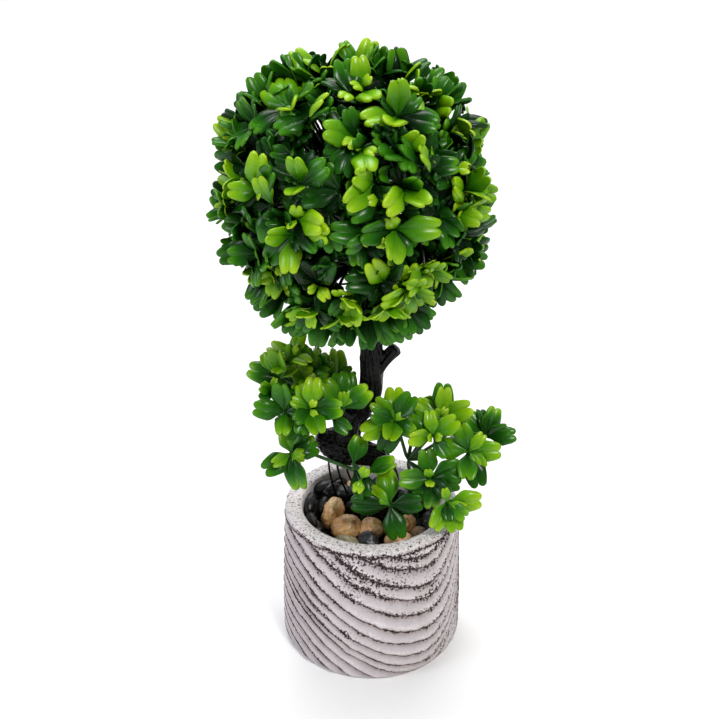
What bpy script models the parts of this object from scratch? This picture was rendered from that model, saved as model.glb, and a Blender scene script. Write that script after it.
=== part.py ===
"""A faux box-leaf topiary, about 30 cm tall, standing in a round cement pot.

Metres, +Z up, with the origin at the centre of the pot's flat underside. The front is -Y.
"""

import math
import random

import bmesh
import bpy
from mathutils import Matrix, Vector
from mathutils.bvhtree import BVHTree

MM = 0.001
GAP = 0.3 * MM

# Driving dimensions: the pot.
POT_RIM_RADIUS = 45.0 * MM
POT_FOOT_RADIUS = 47.8 * MM
POT_HEIGHT = 78.0 * MM
POT_BORE_RADIUS = 36.5 * MM
POT_FLOOR = 9.0 * MM
FILLING_TOP = 60.0 * MM
POT_SIDES = 48

# Driving dimensions: the plant. Each twig of the ball ends BALL_REACH from its centre, sunk TWIG_ROOT
# into the core, and carries two pairs of leaves, PAIR_DROPS below its tip.
BALL_CENTRE = Vector((-9.0, 0.0, 241.0)) * MM
BALL_RADIUS = 63.5 * MM
CORE_RADIUS = 41.0 * MM
BALL_WHORLS = 125
BALL_REACH = (50.5 * MM, 56.0 * MM)
TWIG_ROOT = 4.0 * MM
TURNS_TRIED = 8
TURN_SHIFTS = (0, 8, -8, 16, -16)
LEAF_LENGTH = 16.0 * MM
LEAF_WIDTH = 11.0 * MM
LEAF_THICKNESS = 1.0 * MM
LEAF_ROOT = 0.25 * MM
PAIR_DROPS = (1.0 * MM, 2.6 * MM)
BALL_SPREAD = math.radians(55.0)
SPRAY_SPREAD = math.radians(68.0)
TWIG_RADIUS = 1.1 * MM
STEM_RADIUS = 1.7 * MM
KNEE = 4.0 * MM
TRUNK_SIDES = 12
LIMB_STEPS = 2

# The trunk's two limbs, as (x, z, radius) in millimetres. The lower one rises from the pot, turns
# left and ends in a blunt cut; the upper one leans back to the right and then runs up into the ball.
TRUNK_Y = 3.0 * MM
LOWER_LIMB = [
    (8.0, 60.3, 6.4),
    (8.0, 68.0, 5.7),
    (8.4, 82.0, 5.2),
    (7.6, 94.0, 5.2),
    (2.0, 102.4, 5.5),
    (-5.0, 105.2, 6.4),
    (-13.0, 107.8, 8.6),
    (-20.0, 110.6, 8.2),
    (-25.4, 113.0, 5.4),
    (-29.0, 114.2, 3.2),
]
UPPER_LIMB = [
    (-14.0, 113.0, 7.0),
    (-10.6, 125.0, 6.8),
    (-6.4, 131.6, 6.7),
    (-2.6, 137.0, 6.3),
    (-0.8, 143.0, 5.5),
    (-0.6, 152.0, 5.3),
    (-0.8, 166.0, 5.2),
    (-2.6, 190.0, 4.9),
    (-5.6, 214.0, 4.2),
    (-8.2, 236.0, 3.2),
]
STUB_BOUGH = [(0.5, 150.0, 3.6), (5.0, 156.4, 3.2), (8.8, 161.0, 3.0), (12.0, 164.6, 2.9)]

# Sprays: where each starts, the fork its twigs leave from, and the whorls the twigs end in. A whorl is
# its place in millimetres, the azimuth (0 faces the front, 90 faces +X) and elevation it faces in
# degrees, and its leaves' turn about that direction.
LEFT_SPRAY = {
    "foot": (-12.0, 3.0, 120.0),
    "fork": (-27.0, 2.0, 133.0),
    "whorls": [
        (-46.8, 0.0, 148.6, -40, 30, 10),
        (-43.2, -12.0, 135.7, -15, 20, 0),
        (-27.7, -17.0, 140.7, 5, 25, 0),
        (-15.8, -11.0, 147.0, 20, 50, 15),
        (-33.1, 2.0, 153.0, 0, 60, 0),
        (-22.0, 11.0, 151.0, 150, 45, 20),
        (-51.0, 10.0, 136.0, -110, 15, 30),
        (-36.0, 20.0, 142.0, -170, 15, 0),
        (-33.5, -11.0, 126.0, -25, -15, 40),
        (-38.4, 3.0, 112.5, -30, -10, 20),
        (-21.0, -16.0, 129.0, 10, -10, 30),
        (-40.0, 6.0, 157.0, -60, 60, 20),
    ],
}
RIGHT_SPRAY = {
    "foot": (24.0, 7.0, 60.3),
    "fork": (18.0, -2.0, 104.0),
    "whorls": [
        (10.1, -10.0, 131.2, -10, 30, 0),
        (34.8, 2.0, 128.8, 10, 40, 0),
        (30.1, -14.0, 123.6, -5, 20, 20),
        (58.6, 4.0, 118.1, 60, 20, 10),
        (47.4, -10.0, 114.1, 10, 15, 0),
        (27.6, -18.0, 103.3, 0, 10, -5),
        (36.7, -27.0, 94.1, 20, -15, 25),
        (41.0, 15.0, 112.0, 130, 25, 30),
        (22.0, 14.0, 122.0, 175, 35, 0),
    ],
}
FRONT_SPRAY = {
    "foot": (-4.6, 3.0, 60.3),
    "fork": (-4.0, -9.0, 100.5),
    "whorls": [
        (9.5, -24.0, 91.8, 0, 15, 0),
        (-10.4, -15.0, 107.3, -10, 40, 5),
        (-5.0, -22.0, 101.0, -15, 10, 40),
        (-40.9, -12.0, 110.3, -20, 15, 8),
    ],
}

# Thin wire stems from under the bend down into the pot, as (top, bottom) in millimetres.
WIRE_RADIUS = 0.55 * MM
WIRES = [
    ((-22.5, 2.0, 111.0), (-17.5, 16.5, 60.3)),
    ((-19.0, 2.0, 109.0), (-11.5, 20.0, 60.3)),
    ((-15.0, 3.0, 107.5), (-5.0, 18.0, 60.3)),
]

# Pebbles, as (x, y, length, width, height, heading in degrees, colour), in millimetres.
PEBBLES = [
    (-20.4, 2.2, 15.0, 9.6, 15.0, 70, "tan"),
    (-13.4, -7.6, 14.0, 12.4, 11.6, 20, "tan"),
    (-0.4, -7.4, 12.4, 11.0, 9.6, 0, "tan"),
    (9.0, -7.8, 6.6, 9.4, 8.8, 0, "brown"),
    (19.2, -1.4, 8.6, 7.6, 8.6, 100, "tan"),
    (13.6, -17.2, 13.0, 9.4, 8.8, 20, "tan"),
    (-12.6, -20.2, 12.5, 8.8, 8.4, -20, "grey"),
    (-1.6, -19.4, 10.6, 9.6, 10.6, 0, "slate"),
    (24.4, -10.8, 10.6, 8.4, 8.0, 60, "brown"),
    (30.2, 0.6, 12.5, 8.0, 9.0, 85, "black"),
    (-22.4, 20.8, 14.4, 9.6, 14.5, 46, "black"),
    (-31.0, 8.2, 13.0, 7.6, 11.5, 80, "black"),
    (-29.2, -7.8, 12.4, 8.6, 9.6, -65, "black"),
    (-22.4, -17.8, 8.6, 6.6, 7.4, -40, "brown"),
    (-9.6, 9.4, 11.0, 8.0, 10.4, 10, "black"),
    (-11.6, 30.0, 12.0, 8.4, 9.2, 20, "tan"),
    (2.0, 28.0, 11.6, 8.6, 9.0, -10, "black"),
    (16.0, 26.4, 12.6, 8.4, 8.6, -30, "slate"),
    (13.4, 16.0, 10.0, 7.0, 8.2, 10, "black"),
    (27.2, 15.8, 11.6, 8.0, 8.6, -60, "black"),
    (5.6, -28.4, 9.4, 7.4, 7.2, 10, "brown"),
]

# Colour, roughness and metallic value of each material.
MATERIALS = {
    "cement": ((0.62, 0.57, 0.58), 0.85, 0.0),
    "foam": ((0.03, 0.03, 0.03), 0.95, 0.0),
    "bark": ((0.012, 0.011, 0.011), 0.45, 0.0),
    "leaf": ((0.07, 0.25, 0.02), 0.35, 0.0),
    "tan": ((0.44, 0.28, 0.13), 0.5, 0.0),
    "brown": ((0.16, 0.09, 0.05), 0.5, 0.0),
    "grey": ((0.27, 0.26, 0.19), 0.55, 0.0),
    "slate": ((0.06, 0.065, 0.08), 0.3, 0.0),
    "black": ((0.012, 0.012, 0.015), 0.25, 0.0),
}


def clear_scene():
    for obj in list(bpy.data.objects):
        bpy.data.objects.remove(obj, do_unlink=True)


def material(name):
    found = bpy.data.materials.get(name)
    if found:
        return found
    colour, roughness, metallic = MATERIALS[name]
    made = bpy.data.materials.new(name)
    made.use_nodes = True
    shader = made.node_tree.nodes["Principled BSDF"]
    shader.inputs["Base Color"].default_value = (*colour, 1.0)
    shader.inputs["Roughness"].default_value = roughness
    shader.inputs["Metallic"].default_value = metallic
    return made


def place_mesh(name, bm, slot):
    """Turns bm into an object with its faces pointing out."""
    bmesh.ops.recalc_face_normals(bm, faces=bm.faces)
    mesh = bpy.data.meshes.new(name)
    bm.to_mesh(mesh)
    bm.free()
    mesh.materials.append(material(slot))
    obj = bpy.data.objects.new(name, mesh)
    bpy.context.scene.collection.objects.link(obj)
    return obj


def shade_round(obj, degrees=40):
    obj.data.shade_smooth()
    obj.data.set_sharp_from_angle(angle=math.radians(degrees))


def turned(name, profile, sides, slot):
    """A solid of revolution about Z, from a profile that starts and ends on the axis."""
    bm = bmesh.new()
    verts = [bm.verts.new((radius, 0, height)) for radius, height in profile]
    edges = [bm.edges.new(pair) for pair in zip(verts, verts[1:])]
    bmesh.ops.spin(
        bm, geom=verts + edges, axis=(0, 0, 1), cent=(0, 0, 0), angle=math.tau, steps=sides, use_merge=True
    )
    bmesh.ops.remove_doubles(bm, verts=bm.verts, dist=0.001 * MM)
    obj = place_mesh(name, bm, slot)
    shade_round(obj)
    return obj


def limb_mesh(points, radii, sides):
    """A tapering limb along the points, with a flat cut at each end."""
    bm = bmesh.new()
    across = None
    loops = []
    for index, (point, radius) in enumerate(zip(points, radii)):
        ahead = points[min(index + 1, len(points) - 1)]
        behind = points[max(index - 1, 0)]
        heading = (ahead - behind).normalized()
        if across is None:
            across = heading.orthogonal().normalized()
        across = (across - heading * across.dot(heading)).normalized()
        over = heading.cross(across)
        angles = [math.tau * step / sides for step in range(sides)]
        ring = [point + radius * (math.cos(angle) * across + math.sin(angle) * over) for angle in angles]
        loops.append([bm.verts.new(place) for place in ring])
    for lower, upper in zip(loops, loops[1:]):
        for i in range(sides):
            j = (i + 1) % sides
            bm.faces.new((lower[i], lower[j], upper[j], upper[i]))
    bm.faces.new(loops[0])
    bm.faces.new(loops[-1])
    return bm


def smooth_route(points, steps):
    """Catmull-Rom points through the given ones, each of them a Vector of any length."""
    padded = [points[0] * 2 - points[1], *points, points[-1] * 2 - points[-2]]
    route = []
    for a, b, c, d in zip(padded, padded[1:], padded[2:], padded[3:]):
        for step in range(steps):
            t = step / steps
            bend = (2 * a - 5 * b + 4 * c - d) * t**2 + (3 * b - a - 3 * c + d) * t**3
            route.append((2 * b + (c - a) * t + bend) * 0.5)
    route.append(points[-1])
    return route


def limb(name, outline, y, grow, steps, slot):
    """A limb from (x, z, radius) points in millimetres. grow adds to it all round, for the cutters."""
    route = smooth_route([Vector(point) for point in outline], steps)
    points = [Vector((x * MM, y, z * MM)) for x, z, _ in route]
    radii = [radius * MM + grow for _, _, radius in route]
    points[0] += (points[0] - points[1]).normalized() * grow
    points[-1] += (points[-1] - points[-2]).normalized() * grow
    return place_mesh(name, limb_mesh(points, radii, TRUNK_SIDES), slot)


def boolean(obj, operation, cutter):
    """Applies one Boolean with an object or, quickly enough for hundreds, with a collection of them."""
    modifier = obj.modifiers.new(operation.lower(), "BOOLEAN")
    modifier.operation = operation
    if isinstance(cutter, bpy.types.Collection):
        modifier.operand_type = "COLLECTION"
        modifier.collection = cutter
        modifier.solver = "MANIFOLD"
        used = list(cutter.objects)
    else:
        modifier.object = cutter
        used = [cutter]
    graph = bpy.context.evaluated_depsgraph_get()
    mesh = bpy.data.meshes.new_from_object(obj.evaluated_get(graph))
    obj.modifiers.clear()
    obj.data = mesh
    for helper in used:
        bpy.data.objects.remove(helper, do_unlink=True)
    if isinstance(cutter, bpy.types.Collection):
        bpy.data.collections.remove(cutter)


def keep_largest_body(obj):
    """Drops any scrap that the union left loose."""
    bm = bmesh.new()
    bm.from_mesh(obj.data)
    left = set(bm.verts)
    bodies = []
    while left:
        front = [left.pop()]
        body = set(front)
        while front:
            vert = front.pop()
            for edge in vert.link_edges:
                other = edge.other_vert(vert)
                if other in left:
                    left.remove(other)
                    body.add(other)
                    front.append(other)
        bodies.append(body)
    largest = max(bodies, key=len)
    scraps = [vert for body in bodies if body is not largest for vert in body]
    bmesh.ops.delete(bm, geom=scraps, context="VERTS")
    bm.to_mesh(obj.data)
    bm.free()


def tree_of(obj):
    """The object's surface, for telling whether a leaf or a twig would touch it."""
    bm = bmesh.new()
    bm.from_mesh(obj.data)
    tree = BVHTree.FromBMesh(bm)
    bm.free()
    return tree


def leaf_mesh(frame, grow=0.0):
    """A leaf of two round lobes with a notch between them: a domed top on a flat back."""
    length = LEAF_LENGTH
    half = LEAF_WIDTH / 2
    thick = LEAF_THICKNESS + grow
    outline = [
        (0.0, 0.0, -0.2 * thick),
        (0.88 * half + grow, 0.55 * length, 0.0),
        (half + grow, 0.82 * length, 0.0),
        (0.55 * half, length + grow, 0.0),
        (0.0, 0.88 * length + grow, -0.5 * thick),
        (-0.55 * half, length + grow, 0.0),
        (-half - grow, 0.82 * length, 0.0),
        (-0.88 * half - grow, 0.55 * length, 0.0),
    ]
    bm = bmesh.new()
    rim = [bm.verts.new(frame @ Vector(point)) for point in outline]
    top = bm.verts.new(frame @ Vector((0.0, 0.55 * length, 0.75 * thick)))
    for i in range(len(rim)):
        bm.faces.new((rim[i], rim[(i + 1) % len(rim)], top))
    notch = rim[4]
    for first, second in ((0, 1), (1, 2), (2, 3), (5, 6), (6, 7), (7, 0)):
        bm.faces.new((notch, rim[second], rim[first]))
    return bm


def facing(azimuth, elevation):
    """The direction at an azimuth from the front, -Y, towards +X, and an elevation, in degrees."""
    turn = math.radians(azimuth)
    rise = math.radians(elevation)
    return Vector((math.sin(turn) * math.cos(rise), -math.cos(turn) * math.cos(rise), math.sin(rise)))


def whorl_frames(place, axis, turn, spread):
    """The frames of two crossed pairs of leaves at a twig's tip: Y along the leaf, Z up from its face."""
    side = axis.cross(Vector((0, 0, 1))).normalized() if abs(axis.z) < 0.99 else Vector((1, 0, 0))
    over = side.cross(axis)
    frames = []
    for quarter in range(4):
        angle = turn + quarter * math.pi / 2
        out = -math.cos(angle) * side + math.sin(angle) * over
        along = math.cos(spread) * axis + math.sin(spread) * out
        normal = math.sin(spread) * axis - math.cos(spread) * out
        root = place + out * LEAF_ROOT - axis * PAIR_DROPS[quarter % 2]
        frames.append(Matrix((along.cross(normal), along, normal)).transposed().to_4x4())
        frames[-1].translation = root
    return frames


def touches(bm, barriers):
    tree = BVHTree.FromBMesh(bm)
    return any(tree.overlap(barrier) for barrier in barriers)


def clear_of(frame, barriers, room):
    """True if a leaf there touches no barrier and keeps to its room, a (centre, radius) or None."""
    fat = leaf_mesh(frame, grow=GAP)
    inside = room is None or all((vert.co - room[0]).length < room[1] for vert in fat.verts)
    clear = inside and not touches(fat, barriers)
    fat.free()
    return clear


def twig_points(start, end, bow, steps):
    """A twig's points, bowed towards bow in the middle."""
    return [start.lerp(end, t / steps) + bow * math.sin(math.pi * t / steps) for t in range(steps + 1)]


def twig_mesh(points, thick, thin):
    count = len(points) - 1
    return limb_mesh(points, [thick + (thin - thick) * i / count for i in range(count + 1)], 3)


def gather(collection, bm, slot):
    """Adds one closed piece of a mass to its collection."""
    obj = place_mesh("piece", bm, slot)
    bpy.context.scene.collection.objects.unlink(obj)
    collection.objects.link(obj)


def add_whorl(collection, place, axis, turns, spread, barriers, room):
    """Adds a whorl's leaves at the turn where most of them are clear. Returns the trees of those it added."""
    fits = []
    for turn in turns:
        frames = whorl_frames(place, axis, turn, spread)
        fits.append([frame for frame in frames if clear_of(frame, barriers, room)])
    leaves = [leaf_mesh(frame) for frame in max(fits, key=len)]
    trees = [BVHTree.FromBMesh(leaf) for leaf in leaves]
    for leaf in leaves:
        gather(collection, leaf, "leaf")
    return trees


def sphere_directions(count):
    """Directions spread evenly over a sphere."""
    for i in range(count):
        z = 1 - (2 * i + 1) / count
        angle = i * math.pi * (3 - math.sqrt(5))
        across = math.sqrt(1 - z * z)
        yield Vector((across * math.cos(angle), across * math.sin(angle), z))


def crown_ball(cutters, barriers):
    """The clipped ball: a core round the trunk's top, and twigs out of it that each end in a whorl."""
    chance = random.Random(11)
    bm = bmesh.new()
    bmesh.ops.create_icosphere(bm, subdivisions=3, radius=CORE_RADIUS, matrix=Matrix.Translation(BALL_CENTRE))
    ball = place_mesh("crown_ball", bm, "leaf")
    for cutter in cutters:
        boolean(ball, "DIFFERENCE", cutter)
    pieces = bpy.data.collections.new("twigs and leaves")
    bpy.context.scene.collection.children.link(pieces)
    room = (BALL_CENTRE, BALL_RADIUS)
    placed = []
    for direction in sphere_directions(BALL_WHORLS):
        jitter = Vector([chance.uniform(-0.1, 0.1) for _ in range(3)])
        outward = (direction + jitter).normalized()
        lean = Vector([chance.uniform(-0.3, 0.3) for _ in range(3)])
        axis = (outward + lean).normalized()
        reach = chance.uniform(*BALL_REACH)
        turns = [chance.uniform(0, math.tau) for _ in range(TURNS_TRIED)]
        start = BALL_CENTRE + outward * (CORE_RADIUS - TWIG_ROOT)
        tip = BALL_CENTRE + outward * reach
        twig = twig_mesh([start, tip - axis * TWIG_ROOT, tip], TWIG_RADIUS, TWIG_RADIUS * 0.8)
        if touches(twig, barriers):
            twig.free()
            continue
        gather(pieces, twig, "leaf")
        placed += add_whorl(pieces, tip, axis, turns, BALL_SPREAD, [*barriers, *placed], room)
    boolean(ball, "UNION", pieces)
    keep_largest_body(ball)
    return ball


def spray(name, plan, barriers, cutters):
    """A side spray: one stem, twigs that leave it below the fork, and a whorl at the end of each."""
    foot = Vector(plan["foot"]) * MM
    fork = Vector(plan["fork"]) * MM
    knee = foot + Vector((0, 0, KNEE))
    bow = Vector((0, 0, 2 * MM)).cross((fork - knee).normalized())
    route = [foot, *twig_points(knee, fork, bow, 5)]
    stem = place_mesh(name, twig_mesh(route, STEM_RADIUS, TWIG_RADIUS * 1.25), "leaf")
    for cutter in cutters:
        boolean(stem, "DIFFERENCE", cutter)
    keep_largest_body(stem)
    pieces = bpy.data.collections.new(name + " twigs and leaves")
    bpy.context.scene.collection.children.link(pieces)
    placed = []
    for x, y, z, azimuth, elevation, turn in plan["whorls"]:
        tip = Vector((x, y, z)) * MM
        axis = facing(azimuth, elevation)
        start = route[-1].lerp(route[-2], 0.3)
        bend = (tip - start).length * 0.3
        points = smooth_route([start, tip - axis * bend, tip], 3)
        twig = twig_mesh(points, TWIG_RADIUS * 1.15, TWIG_RADIUS * 0.85)
        if touches(twig, barriers):
            twig.free()
            continue
        gather(pieces, twig, "leaf")
        turns = [math.radians(turn + shift) for shift in TURN_SHIFTS]
        placed += add_whorl(pieces, tip, axis, turns, SPRAY_SPREAD, [*barriers, *placed], None)
    boolean(stem, "UNION", pieces)
    keep_largest_body(stem)
    return stem


def pebble(name, x, y, length, width, height, heading, colour, chance):
    """A worn stone: a ball stretched, turned and dented a little, resting on the filling."""
    bm = bmesh.new()
    bmesh.ops.create_icosphere(bm, subdivisions=2, radius=0.5)
    for vert in bm.verts:
        vert.co *= 1 + chance.uniform(-0.05, 0.02)
    size = Matrix.Diagonal((length * MM, width * MM, height * MM, 1))
    turn = Matrix.Rotation(math.radians(heading), 4, "Z")
    bmesh.ops.transform(bm, matrix=turn @ size, verts=bm.verts)
    lowest = min(vert.co.z for vert in bm.verts)
    rise = FILLING_TOP + GAP - lowest
    bmesh.ops.translate(bm, vec=(x * MM, y * MM, rise), verts=bm.verts)
    obj = place_mesh(name, bm, colour)
    shade_round(obj, 60)
    return obj


def pot():
    rim = POT_RIM_RADIUS
    foot = POT_FOOT_RADIUS
    bore = POT_BORE_RADIUS
    top = POT_HEIGHT
    profile = [
        (0, 0),
        (foot - 3.0 * MM, 0),
        (foot - 0.8 * MM, 1.0 * MM),
        (foot, 3.6 * MM),
        (foot - 0.3 * MM, 0.36 * top),
        (rim + 1.2 * MM, 0.7 * top),
        (rim + 0.2 * MM, top - 2.4 * MM),
        (rim - 0.5 * MM, top - 0.6 * MM),
        (rim - 1.6 * MM, top),
        (bore + 0.8 * MM, top),
        (bore, top - 0.8 * MM),
        (bore, POT_FLOOR + 3.0 * MM),
        (bore - 3.0 * MM, POT_FLOOR),
        (0, POT_FLOOR),
    ]
    return turned("pot", profile, POT_SIDES, "cement")


def pot_filling():
    edge = POT_BORE_RADIUS - GAP
    floor = POT_FLOOR + GAP
    profile = [
        (0, floor),
        (edge - 3.2 * MM, floor),
        (edge, floor + 3.2 * MM),
        (edge, FILLING_TOP),
        (0, FILLING_TOP),
    ]
    return turned("pot_filling", profile, POT_SIDES, "foam")


def wire_stem(name, top, bottom, cutter):
    """A thin stem that leaves the underside of the lower limb and stands upright in the filling."""
    start = Vector(top) * MM
    end = Vector(bottom) * MM
    points = [*twig_points(start, end + Vector((0, 0, KNEE)), Vector((-2 * MM, 0, 0)), 6), end]
    wire = place_mesh(name, limb_mesh(points, [WIRE_RADIUS] * len(points), 6), "bark")
    boolean(wire, "DIFFERENCE", cutter)
    keep_largest_body(wire)
    return wire


def trunk_limb(name, outline, steps, grow=0):
    return limb(name, outline, TRUNK_Y, grow, steps, "bark")


def lower_cutter():
    return trunk_limb("cutter", LOWER_LIMB, LIMB_STEPS, GAP)


def upper_cutter():
    return trunk_limb("cutter", UPPER_LIMB, LIMB_STEPS, GAP)


def build():
    clear_scene()
    chance = random.Random(4)
    solids = [pot(), pot_filling()]
    solids += [pebble(f"pebble_{index:02d}", *stone, chance) for index, stone in enumerate(PEBBLES, start=1)]
    lower = trunk_limb("trunk_lower", LOWER_LIMB, LIMB_STEPS)
    upper = trunk_limb("trunk_upper", UPPER_LIMB, LIMB_STEPS)
    boolean(upper, "DIFFERENCE", lower_cutter())
    stub = trunk_limb("stub_bough", STUB_BOUGH, 2)
    boolean(stub, "DIFFERENCE", upper_cutter())
    for obj in (lower, upper, stub):
        keep_largest_body(obj)
        shade_round(obj)
    solids += [lower, upper, stub]
    for index, (top, bottom) in enumerate(WIRES, start=1):
        solids.append(wire_stem(f"wire_stem_{index}", top, bottom, lower_cutter()))

    barriers = [tree_of(obj) for obj in solids]
    barriers.append(tree_of(crown_ball([upper_cutter()], barriers)))
    barriers.append(tree_of(spray("left_spray", LEFT_SPRAY, barriers, [lower_cutter(), upper_cutter()])))
    barriers.append(tree_of(spray("right_spray", RIGHT_SPRAY, barriers, [])))
    spray("front_spray", FRONT_SPRAY, barriers, [])


build()
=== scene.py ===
# %% [markdown]
# # A faux box-leaf topiary in a cement pot
# The real object is a tabletop decoration: moulded plastic sprigs plugged into a bent plastic trunk,
# in a cast cement pot under a bed of pebbles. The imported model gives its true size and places.
# This script keeps those places and makes every surface again in full detail: each leaf on its own,
# the bark with its grain, the pot with its wave relief, and the worn stones.
# Sizes are written in millimetres and turned into metres where a mesh is made.

# %% Load the frame
import math
import random

import bmesh
import bpy
import numpy as np
from mathutils import Matrix, Vector, noise


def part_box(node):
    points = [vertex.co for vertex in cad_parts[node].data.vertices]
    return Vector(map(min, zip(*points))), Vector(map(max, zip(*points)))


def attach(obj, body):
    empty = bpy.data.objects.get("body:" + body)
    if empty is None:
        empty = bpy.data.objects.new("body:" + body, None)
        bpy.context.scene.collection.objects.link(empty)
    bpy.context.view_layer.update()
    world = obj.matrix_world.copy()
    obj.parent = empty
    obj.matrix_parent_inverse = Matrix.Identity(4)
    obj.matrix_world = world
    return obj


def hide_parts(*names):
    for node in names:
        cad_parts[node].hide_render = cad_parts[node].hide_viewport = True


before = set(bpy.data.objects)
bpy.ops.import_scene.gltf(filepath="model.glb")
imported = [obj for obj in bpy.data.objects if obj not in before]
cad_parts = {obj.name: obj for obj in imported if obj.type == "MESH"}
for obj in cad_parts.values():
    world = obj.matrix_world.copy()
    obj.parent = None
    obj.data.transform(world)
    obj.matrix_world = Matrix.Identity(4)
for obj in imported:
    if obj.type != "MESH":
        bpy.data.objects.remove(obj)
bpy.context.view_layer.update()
MM = 0.001
print("nodes in the frame:", len(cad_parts))

# %% [markdown]
# ## Camera
# The plant is seen close by and from a little above, so its ball looks large beside the pot's foot.
# The camera is placed by its real distance, pitch and yaw, with a lens slightly longer than normal.

# %% Camera
CAMERA_PLACE = (0.0, -394.9, 343.7)
CAMERA_PITCH = 25.07
CAMERA_YAW = 0.93
SENSOR_WIDTH = 36.0
FOCAL_LENGTH = 45.06

camera = bpy.data.objects.new("camera", bpy.data.cameras.new("camera"))
camera.data.sensor_width = SENSOR_WIDTH
camera.data.lens = FOCAL_LENGTH
camera.location = Vector(CAMERA_PLACE) * MM
camera.rotation_euler = (math.radians(90 - CAMERA_PITCH), 0, math.radians(CAMERA_YAW))
bpy.context.scene.collection.objects.link(camera)
bpy.context.scene.camera = camera
print("camera", round(camera.location.length, 3), "m from the pot's foot")

# %% [markdown]
# ## Helpers for materials
# Colours are written as sRGB hex values, as a colour chart gives them. Shaders want linear light, so
# one function converts them. Another adds a node with its settings and its links in one call, which
# keeps each material readable as a short list of steps.


# %% Material helpers
def linear(colour):
    """The linear RGBA of an sRGB hex colour such as "#7DB722"."""
    values = [int(colour[i : i + 2], 16) / 255 for i in (1, 3, 5)]
    return tuple(v / 12.92 if v <= 0.04045 else ((v + 0.055) / 1.055) ** 2.4 for v in values) + (1.0,)


def add_node(tree, kind, inputs=None, **settings):
    """Adds a node. inputs gives each socket a value, or another node's output to link it to."""
    made = tree.nodes.new(kind)
    for name, value in settings.items():
        setattr(made, name, value)
    for socket, value in (inputs or {}).items():
        if isinstance(value, bpy.types.NodeSocket):
            tree.links.new(value, made.inputs[socket])
        else:
            made.inputs[socket].default_value = value
    return made


def new_material(name, colour, roughness, ior):
    """A Principled material with plain values. Returns it with its node tree and its shader."""
    made = bpy.data.materials.new(name)
    made.use_nodes = True
    shader = made.node_tree.nodes["Principled BSDF"]
    shader.inputs["Base Color"].default_value = linear(colour)
    shader.inputs["Roughness"].default_value = roughness
    shader.inputs["IOR"].default_value = ior
    return made, made.node_tree, shader


def colour_ramp(tree, factor, stops):
    """A colour ramp from (position, hex colour) stops, and its output."""
    ramp = add_node(tree, "ShaderNodeValToRGB", {"Fac": factor})
    elements = ramp.color_ramp.elements
    while len(elements) < len(stops):
        elements.new(1.0)
    for element, (position, colour) in zip(elements, stops):
        element.position = position
        element.color = linear(colour)
    return ramp.outputs["Color"]


# %% [markdown]
# ## Floor
# A studio sweep is a roll of matt white paper, drawn out over a table and curved up behind it, so that
# no horizon shows. Matt paper scatters nearly all light, which gives soft shadows and no gloss. It is
# a flat strip, a quarter circle and a short wall, worked out as one profile and pulled sideways.

# %% Floor
SWEEP_NEAR = -1.2
SWEEP_FAR = 1.6
SWEEP_BEND = 0.8
SWEEP_STEPS = 16
SWEEP_HALF_WIDTH = 2.5
SWEEP_HEIGHT = 2.6
PAPER_IOR = 1.5

floor_paper, _, _ = new_material("matt_white_paper", "#F7F7F7", 0.9, PAPER_IOR)
bm = bmesh.new()
profile = [(SWEEP_NEAR, 0.0), (0.0, 0.0)]
for step in range(SWEEP_STEPS + 1):
    angle = step / SWEEP_STEPS * math.pi / 2
    back = SWEEP_FAR - SWEEP_BEND + SWEEP_BEND * math.sin(angle)
    profile.append((back, SWEEP_BEND * (1 - math.cos(angle))))
profile.append((SWEEP_FAR, SWEEP_HEIGHT))
rows = [[bm.verts.new((side * SWEEP_HALF_WIDTH, y, z)) for side in (-1, 1)] for y, z in profile]
for near, far in zip(rows, rows[1:]):
    bm.faces.new((near[0], near[1], far[1], far[0]))
sweep_mesh = bpy.data.meshes.new("studio_sweep")
bm.to_mesh(sweep_mesh)
bm.free()
sweep_mesh.shade_smooth()
sweep_mesh.materials.append(floor_paper)
sweep = bpy.data.objects.new("studio_sweep", sweep_mesh)
bpy.context.scene.collection.objects.link(sweep)
print("sweep:", 2 * SWEEP_HALF_WIDTH, "m wide,", SWEEP_FAR - SWEEP_NEAR, "m deep")

# %% [markdown]
# ## Light
# A soft key light stands at the upper right, a weaker and cooler one at the left, and a third hangs
# overhead, which gives each leaf a few small highlights. Square lamps stand for softboxes, as a larger
# lamp gives softer shadows. A fourth washes the back of the sweep, so that it stays white, and a pale
# sky fills the shadows without a colour of its own.

# %% Lamps and sky
# Each lamp has its name, place, aim, size in metres, watts and colour.
LIGHTS = [
    ("key", (0.38, -0.60, 0.90), (0, 0, 0.18), 0.24, 6.5, "#FFFDFA"),
    ("fill", (-0.80, -0.40, 0.50), (0, 0, 0.18), 0.40, 3.5, "#EDF3FF"),
    ("top", (-0.10, 0.10, 1.05), (0, 0, 0.18), 0.45, 2.8, "#FFFFFF"),
    ("backdrop", (0.0, 0.75, 1.7), (0, 1.6, 0.4), 1.20, 24.0, "#FFFFFF"),
]
SKY_COLOUR = "#FFFFFF"
SKY_STRENGTH = 0.24

for name, place, aim, size, watts, colour in LIGHTS:
    lamp = bpy.data.lights.new(name, "AREA")
    lamp.size = size
    lamp.energy = watts
    lamp.color = linear(colour)[:3]
    light = bpy.data.objects.new(name, lamp)
    light.location = place
    light.rotation_euler = (Vector(place) - Vector(aim)).to_track_quat("Z", "Y").to_euler()
    bpy.context.scene.collection.objects.link(light)

world = bpy.data.worlds.new("pale_sky")
world.use_nodes = True
world.node_tree.nodes["Background"].inputs["Color"].default_value = linear(SKY_COLOUR)
world.node_tree.nodes["Background"].inputs["Strength"].default_value = SKY_STRENGTH
bpy.context.scene.world = world
bpy.context.scene.view_settings.view_transform = "Standard"
print("lights:", len(LIGHTS))

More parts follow.
